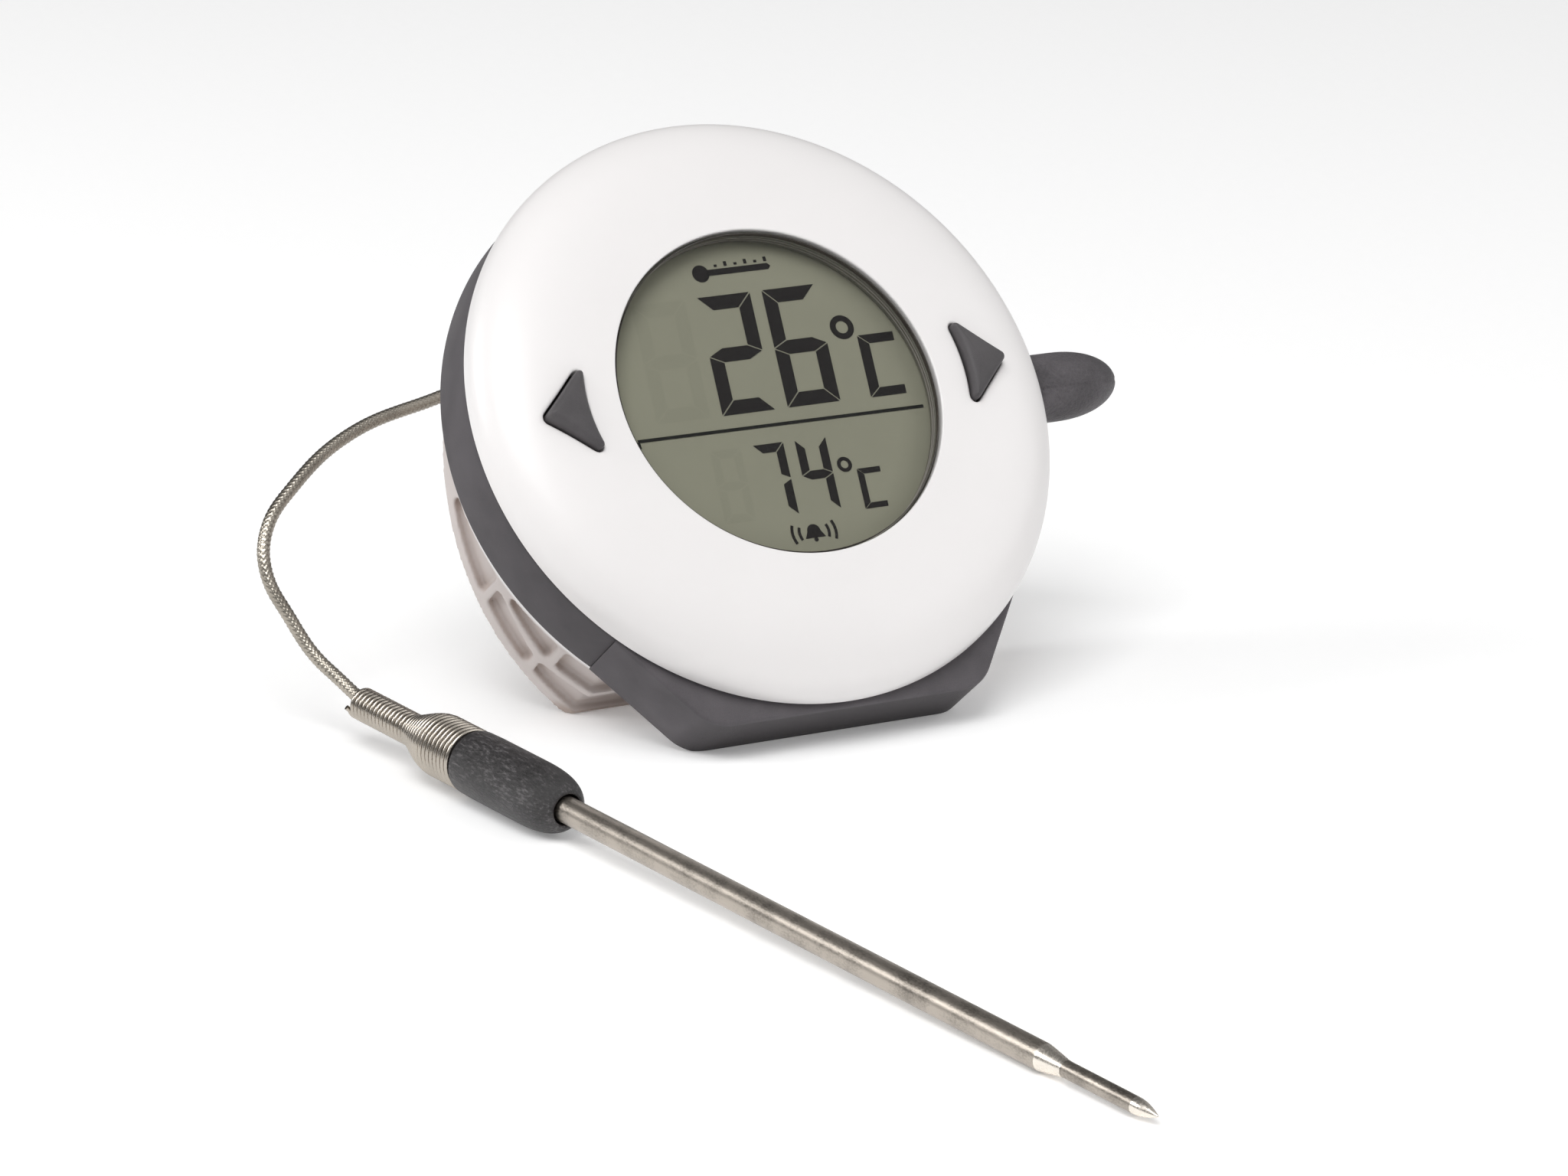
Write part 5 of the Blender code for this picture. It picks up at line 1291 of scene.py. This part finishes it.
def make_screw(index, x, z, mats):
    """Pan-head screw with a cross recess."""
    radius = SCREW_HEAD
    shank = 0.9 * MM
    profile = [(0.0, -SCREW_LENGTH), (shank * 0.4, -SCREW_LENGTH), (shank, 0.8 * MM - SCREW_LENGTH)]
    profile += [(shank, 0.0), (radius, 0.0), (radius, 0.7 * MM)]
    for step in range(1, 7):
        angle = 0.5 * math.pi * step / 6
        profile.append((radius * math.cos(angle), 0.7 * MM + 0.6 * MM * math.sin(angle)))
    profile[-1] = (0.0, 1.3 * MM)
    screw = to_object(f"screw_{index}_body", turned_bmesh(profile, "Y", SMALL_STEPS))
    arm = 1.05 * MM
    half = 0.22 * MM
    cross = [(-arm, -half), (-half, -half), (-half, -arm), (half, -arm), (half, -half), (arm, -half),
             (arm, half), (half, half), (half, arm), (-half, arm), (-half, half), (-arm, half)]
    combine(screw, prism_bmesh(cross, 0.55 * MM, 3 * MM), 'DIFFERENCE')
    place = HEAD @ Matrix.Translation((x, HEAD_SEAT + GAP, z))
    fit(screw, place, mats["screw"], "head", f"housing_screw_{index}")


# ---------------------------------------------------------------- plug and cable

def boot_profile():
    """Bullet-shaped boot: a flat base, nearly straight sides and an elliptical nose."""
    straight = 5.5 * MM
    nose = BOOT_LENGTH - straight
    points = [(0.0, 0.0), (BOOT_RADIUS - 0.7 * MM, 0.0), (BOOT_RADIUS - 0.2 * MM, 0.6 * MM),
              (BOOT_RADIUS, 1.8 * MM)]
    for share in crowded(26):
        points.append((BOOT_RADIUS * (1.0 - share ** 2.2) ** 0.5, straight + nose * share))
    points[-1] = (0.0, BOOT_LENGTH)
    return points


def leg_frame():
    """Frame whose Y runs along the cable leg of the boot."""
    aim = Vector((0.0, 1.0, 0.0)).rotation_difference(LEG_DIRECTION).to_matrix().to_4x4()
    return Matrix.Translation((LEG_X, 0.0, 0.0)) @ aim


def make_plug(mats):
    """Moulded boot with its leg, and the gold contact pin."""
    base = (BOOT_BASE, 0.0, 0.0)
    boot = to_object("boot_body", moved(turned_bmesh(boot_profile(), "X", MID_STEPS), base))
    leg = [(0.0, 1 * MM), (2.6 * MM, 1 * MM), (2.6 * MM, 6 * MM), (1.9 * MM, LEG_LENGTH), (0.0, LEG_LENGTH)]
    bore = CABLE_RADIUS + GAP
    leg_bore = rectangle(0.0, bore, LEG_LENGTH - 3 * MM, LEG_LENGTH + 1 * MM)
    combine(boot, turned_bmesh(leg, "Y", SMALL_STEPS), 'UNION', leg_frame())
    pin_hole = rectangle(0.0, PIN_RADIUS + GAP, -1 * MM, 4 * MM)
    cuts = [moved(turned_bmesh(pin_hole, "X", SMALL_STEPS), base)]
    for level in (8.0, 9.3, 10.6):
        groove = rectangle(1.75 * MM, 3.5 * MM, level * MM, (level + 0.55) * MM)
        ring = turned_bmesh(groove, "Y", SMALL_STEPS)
        bmesh.ops.transform(ring, matrix=leg_frame(), verts=ring.verts)
        cuts.append(ring)
    combine(boot, cuts, 'DIFFERENCE')
    combine(boot, turned_bmesh(leg_bore, "Y", SMALL_STEPS), 'DIFFERENCE', leg_frame())
    mould(boot, voxel=0.16 * MM, rounds=5)
    add_parting_line(boot)
    fit(boot, SOCKET, mats["boot"], "plug", "plug_boot")

    start = 26.8 * MM
    ring = 0.2 * MM
    pin = [(0.0, start), (0.35 * MM, start + 0.05 * MM), (PIN_RADIUS * 0.8, start + 0.7 * MM),
           (PIN_RADIUS * 0.9, start + 1.1 * MM), (PIN_RADIUS * 0.62, start + 2.0 * MM),
           (PIN_RADIUS, start + 2.8 * MM)]
    for groove in (5.2 * MM, 8.0 * MM):
        at = start + groove
        pin += [(PIN_RADIUS, at), (PIN_RADIUS - ring, at), (PIN_RADIUS - ring, at + 0.5 * MM),
                (PIN_RADIUS, at + 0.5 * MM)]
    end = BOOT_BASE + 3.7 * MM
    pin += [(PIN_RADIUS, end), (0.0, end)]
    turned_part("pin_contact", pin, mats["gold"], "plug", "plug_pin",
                axis="X", steps=SMALL_STEPS, place=SOCKET)


def add_parting_line(boot):
    """Sink the fine moulding line that runs along the boot over its nose."""
    width = 0.2 * MM
    sink = 0.14 * MM
    line_angle = math.radians(22.0)
    across = Vector((0.0, -math.sin(line_angle), math.cos(line_angle)))
    for vert in boot.data.vertices:
        radial = Vector((0.0, vert.co.y, vert.co.z))
        if radial.length > BOOT_RADIUS + 0.2 * MM:
            continue
        share = math.exp(-(vert.co.dot(across) / width) ** 2)
        vert.co -= radial.normalized() * sink * share
    boot.data.update()


def cable_path():
    """Centre line of the cable from the boot's leg into the spring, evenly spaced."""
    leg = SOCKET @ leg_frame()
    route = [leg @ Vector((0.0, LEG_LENGTH + step, 0.0)) for step in (-2.4 * MM, 1.5 * MM)]
    route += [Vector(point) * MM for point in CABLE_ROUTE]
    route += [PROBE @ Vector((0.5 * MM, 0.0, 0.4 * MM)), PROBE @ Vector((4.5 * MM, 0.0, 0.0))]
    curve = bpy.data.curves.new("cable_route", 'CURVE')
    curve.dimensions = '3D'
    curve.resolution_u = 40
    spline = curve.splines.new('BEZIER')
    spline.bezier_points.add(len(route) - 1)
    for point, place in zip(spline.bezier_points, route):
        point.co = place
        point.handle_left_type = 'AUTO'
        point.handle_right_type = 'AUTO'
    guide = bpy.data.objects.new("cable_route", curve)
    bpy.context.scene.collection.objects.link(guide)
    bpy.context.view_layer.update()
    graph = bpy.context.evaluated_depsgraph_get()
    mesh = bpy.data.meshes.new_from_object(guide.evaluated_get(graph), depsgraph=graph)
    points = np.array([vert.co for vert in mesh.vertices])
    bpy.data.objects.remove(guide)
    bpy.data.meshes.remove(mesh)
    steps = np.linalg.norm(np.diff(points, axis=0), axis=1)
    along = np.concatenate(([0.0], np.cumsum(steps)))
    spacing = 0.12 * MM
    even = np.arange(0.0, along[-1], spacing)
    smooth = np.stack([np.interp(even, along, points[:, axis]) for axis in range(3)], axis=1)
    kernel = np.hanning(41)
    kernel /= kernel.sum()
    padded = np.pad(smooth, ((20, 20), (0, 0)), mode="edge")
    relaxed = np.stack([np.convolve(padded[:, axis], kernel, mode="valid") for axis in range(3)], axis=1)
    share = np.clip(np.minimum(even, even[::-1]) / (20 * spacing), 0.0, 1.0)[:, None]
    return smooth * (1.0 - share) + relaxed * share, spacing


def make_cable(mats):
    """Steel cable with a woven relief, which bends between the plug and the probe."""
    path, spacing = cable_path()
    strands = 8
    pitch = 5.6 * MM
    relief_height = 0.13 * MM

    def weave(angle, index):
        """Height of the woven strands at a place on the cable."""
        twist = math.pi * strands * spacing * index / pitch
        first = math.sin(strands * angle / 2.0 + twist)
        second = math.sin(strands * angle / 2.0 - twist)
        over = first * second
        return relief_height * (max(abs(first) * (1.0 + over), abs(second) * (1.0 - over)) / 2.0 - 0.75)

    cable = to_object("braided_cable", swept_bmesh(path, CABLE_RADIUS, 48, weave), None, mats["braid"], 60.0)
    start = Vector(CABLE_ROUTE[7]) * MM
    end = PROBE @ Vector((0.5 * MM, 0.0, 0.0))
    end.x = start.x
    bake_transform(cable)
    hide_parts("probe_cable")


# ---------------------------------------------------------------- probe

def spring_radius(along):
    """Outer radius of the strain-relief spring at a distance from its back end."""
    if along <= SPRING_SLIM_END:
        return SPRING_SLIM
    if along >= SPRING_FLARE_END:
        return SPRING_WIDE
    share = (along - SPRING_SLIM_END) / (SPRING_FLARE_END - SPRING_SLIM_END)
    return SPRING_SLIM + (SPRING_WIDE - SPRING_SLIM) * share ** 1.6 * (3.0 - 2.0 * share) ** 0.9


def make_spring(mats):
    """Close-wound spring that flares over the back of the handle, with a cut wire end."""
    per_turn = 40
    first = SPRING_WIRE
    last = SPRING_END - SPRING_WIRE
    count = int((last - first) / SPRING_PITCH * per_turn)
    start_angle = math.radians(200.0)
    path = []
    for index in range(count + 1):
        along = first + (last - first) * index / count
        angle = start_angle + 2.0 * math.pi * index / per_turn
        radius = spring_radius(along) - SPRING_WIRE
        path.append((along, radius * math.cos(angle), radius * math.sin(angle)))
    end = np.array(path[0])
    tail = end - (np.array(path[6]) - end) * 0.35 + np.array((-0.12 * MM, 0.0, 0.0))
    path = [tuple(tail), tuple((tail + end) / 2.0)] + path
    item = to_object("spring_coil", swept_bmesh(path, SPRING_WIRE, 12), PROBE, mats["wire"], 50.0)
    place_on(item, "probe", "strain_spring")


def grind_cones(stem, mats):
    """Give the shoulder and the point of the tube the brighter finish of ground steel."""
    stem.data.materials.append(mats["ground"])
    back = PROBE.inverted()
    for face in stem.data.polygons:
        along = (back @ face.center).x
        if SHOULDER_START < along < SHOULDER_END or along > TIP_START:
            face.material_index = 1


def make_probe(mats):
    """Handle with a rounded nose, and the stepped tube with its pointed tip."""
    stub = SPRING_WIDE - 2.0 * SPRING_WIRE - 0.1 * MM
    start = SPRING_END + 0.1 * MM
    nose_start = HANDLE_END - HANDLE_NOSE
    tube_hole = TUBE_RADIUS + 0.32 * MM
    cable_hole = CABLE_RADIUS + GAP
    grip = [(cable_hole, SPRING_FLARE_END + 1.2 * MM), (stub, SPRING_FLARE_END + 1.2 * MM), (stub, start),
            (HANDLE_RADIUS - 0.35 * MM, start), (HANDLE_RADIUS - 0.12 * MM, start + 0.2 * MM),
            (HANDLE_RADIUS - 0.06 * MM, start + 0.6 * MM), (HANDLE_RADIUS, start + 3 * MM),
            (HANDLE_RADIUS, start + 6 * MM)]
    mouth = (tube_hole + 0.3 * MM) / HANDLE_RADIUS
    reach = (1.0 - mouth ** HANDLE_BLUNT) ** (1.0 / HANDLE_BLUNT)
    for share in crowded(30):
        radius = HANDLE_RADIUS * (1.0 - (reach * share) ** HANDLE_BLUNT) ** (1.0 / HANDLE_BLUNT)
        grip.append((radius, nose_start + HANDLE_NOSE * share))
    grip += [(tube_hole + 0.08 * MM, HANDLE_END - 0.02 * MM), (tube_hole, HANDLE_END - 0.12 * MM),
             (tube_hole, TUBE_START - GAP), (cable_hole, TUBE_START - GAP)]
    turned_part("handle_grip", grip, mats["handle"], "probe", "probe_handle",
                axis="X", steps=MID_STEPS, place=PROBE)

    tube = [(0.0, TIP_END), (0.06 * MM, TIP_END - 0.02 * MM), (0.13 * MM, TIP_END - 0.1 * MM)]
    cone = 8
    for step in range(1, cone + 1):
        share = step / cone
        radius = 0.16 * MM + (TIP_RADIUS - 0.16 * MM) * math.sin(0.5 * math.pi * share) ** 0.92
        tube.append((radius, TIP_END - 0.2 * MM - (TIP_END - 0.2 * MM - TIP_START) * share))
    tube += [(TIP_RADIUS, TIP_START - 0.4 * MM), (TIP_RADIUS, SHOULDER_END + 0.5 * MM),
             (TIP_RADIUS + 0.02 * MM, SHOULDER_END + 0.15 * MM),
             (TIP_RADIUS + 0.08 * MM, SHOULDER_END - 0.25 * MM),
             (TUBE_RADIUS - 0.06 * MM, SHOULDER_START + 0.3 * MM), (TUBE_RADIUS - 0.01 * MM, SHOULDER_START),
             (TUBE_RADIUS, SHOULDER_START - 0.4 * MM)]
    stretches = 12
    for step in range(1, stretches + 1):
        tube.append((TUBE_RADIUS, SHOULDER_START - 0.4 * MM
                     - (SHOULDER_START - 0.4 * MM - TUBE_START) * step / stretches))
    tube += [(1.25 * MM, TUBE_START), (1.25 * MM, SHOULDER_START - 3 * MM),
             (0.55 * MM, SHOULDER_START - 1 * MM), (0.55 * MM, TIP_START - 1 * MM),
             (0.0, TIP_START - 1 * MM)]
    item = to_object("tube_stem", turned_bmesh(tube, "X", MID_STEPS, False), PROBE, mats["tube"], 40.0)
    grind_cones(item, mats)
    place_on(item, "probe", "probe_tube")


# ---------------------------------------------------------------- CAD nodes that stay

CAD_FINISHES = {
    "dark": ("lcd_carrier",),
    "chip": ("controller_chip", "buzzer", "tact_switch_left", "tact_switch_right", "power_switch_body",
             "unit_switch_body", "probe_socket"),
    "white": ("tact_plunger_left", "tact_plunger_right"),
    "zebra": ("zebra_strip_upper", "zebra_strip_lower"),
    "board": ("circuit_board",),
    "screw": ("board_screw_upper", "board_screw_lower"),
    "cell": ("battery_cell_upper", "battery_cell_lower"),
    "nickel": ("contact_plate_left", "contact_plate_right", "contact_spring_upper", "contact_spring_lower"),
    "brass": ("sensor_element",),
}


def finish_cad_nodes(mats):
    """Better materials for the inner pieces whose CAD shape stays."""
    for finish, names in CAD_FINISHES.items():
        for name in names:
            node = frame["nodes"][name]
            node.data.materials.clear()
            node.data.materials.append(mats[finish])


# ---------------------------------------------------------------- stage

CAMERA_OFFSET = Vector((-391.86, -706.37, 223.31)) * MM
CAMERA_AZIMUTH = math.radians(-29.08)
CAMERA_ELEVATION = math.radians(17.19)
CAMERA_ROLL = math.radians(1.012)
CAMERA_LENS = 150.55
CAMERA_SENSOR = 36.0
FLOOR_DROP = 0.05 * MM

# Surroundings: grey by height, dimmed towards one direction
SKY_STOPS = ((0.0, 0.24), (0.25, 0.36), (0.55, 0.95), (1.0, 1.3))
SKY_LEVEL = 0.57
DARK_DIRECTION = Vector((-0.02, 0.72, 0.69)).normalized()
DARK_SHAPE = {"From_Min": 0.62, "From_Max": 0.92, "To_Min": 1.0, "To_Max": 0.22}

# Lights: name, place from the middle of the window, width and height, power
LIGHTS = (("key", (-0.40, -0.40, 0.85), (0.6, 0.6), 5.6),
          ("side", (-0.78, 0.36, 0.46), (0.34, 0.34), 2.6),
          ("fill", (0.8, -0.5, 0.5), (0.8, 0.6), 2.0))


def make_camera():
    """Long lens from the front left, a little above the head."""
    back = Vector((math.sin(CAMERA_AZIMUTH) * math.cos(CAMERA_ELEVATION),
                   -math.cos(CAMERA_AZIMUTH) * math.cos(CAMERA_ELEVATION), math.sin(CAMERA_ELEVATION)))
    right = Vector((0.0, 0.0, 1.0)).cross(back).normalized()
    up = back.cross(right)
    turn = Matrix.Rotation(CAMERA_ROLL, 4, back)
    pose = Matrix((right, up, back)).transposed().to_4x4()
    matrix = turn @ pose
    matrix.translation = WINDOW_CENTRE + CAMERA_OFFSET
    data = bpy.data.cameras.new("camera")
    data.lens = CAMERA_LENS
    data.sensor_width = CAMERA_SENSOR
    camera = bpy.data.objects.new("camera", data)
    camera.matrix_world = matrix
    bpy.context.scene.collection.objects.link(camera)
    bpy.context.scene.camera = camera


def area_light(name, place, target, size, power):
    """Soft rectangular light aimed at a point."""
    data = bpy.data.lights.new(name, 'AREA')
    data.shape = 'RECTANGLE'
    data.size, data.size_y = size
    data.energy = power
    light = bpy.data.objects.new(name, data)
    light.location = place
    light.rotation_euler = (Vector(target) - Vector(place)).to_track_quat('-Z', 'Y').to_euler()
    bpy.context.scene.collection.objects.link(light)


def make_stage(mats):
    """Pale floor, even white surroundings with a darker side, and soft lights."""
    bm = bmesh.new()
    bmesh.ops.create_grid(bm, x_segments=8, y_segments=8, size=3.0)
    floor = to_object("floor", bm, Matrix.Translation((0.0, 0.0, -FLOOR_DROP)), mats["floor"])
    world = bpy.data.worlds.new("studio")
    bpy.context.scene.world = world
    sky = Nodes(world, "Generated")
    height = sky.add("SeparateXYZ", Vector=sky.coords).outputs["Z"]
    aim = sky.vectors('DOT_PRODUCT', "Value", sky.coords, DARK_DIRECTION)
    shade = sky.add("MapRange", Value=aim, **DARK_SHAPE)
    shade.interpolation_type = 'SMOOTHSTEP'
    sky.feed(sky.tree.nodes["Background"], Color=sky.ramp(height, SKY_STOPS),
             Strength=sky.maths('MULTIPLY', shade.outputs["Result"], SKY_LEVEL))
    for name, place, size, power in LIGHTS:
        area_light(name, WINDOW_CENTRE + Vector(place), WINDOW_CENTRE, size, power)
    bpy.context.scene.view_settings.view_transform = 'Standard'


def main():
    """Dress the frame and set the stage."""
    mats = make_materials()
    finish_cad_nodes(mats)
    make_front_cover(mats)
    make_buttons(mats)
    make_window(mats)
    make_display(mats)
    make_band(mats)
    make_foot(mats)
    make_housing(mats)
    make_rear_fittings(mats)
    make_plug(mats)
    make_cable(mats)
    make_spring(mats)
    make_probe(mats)
    make_camera()
    make_stage(mats)


main()
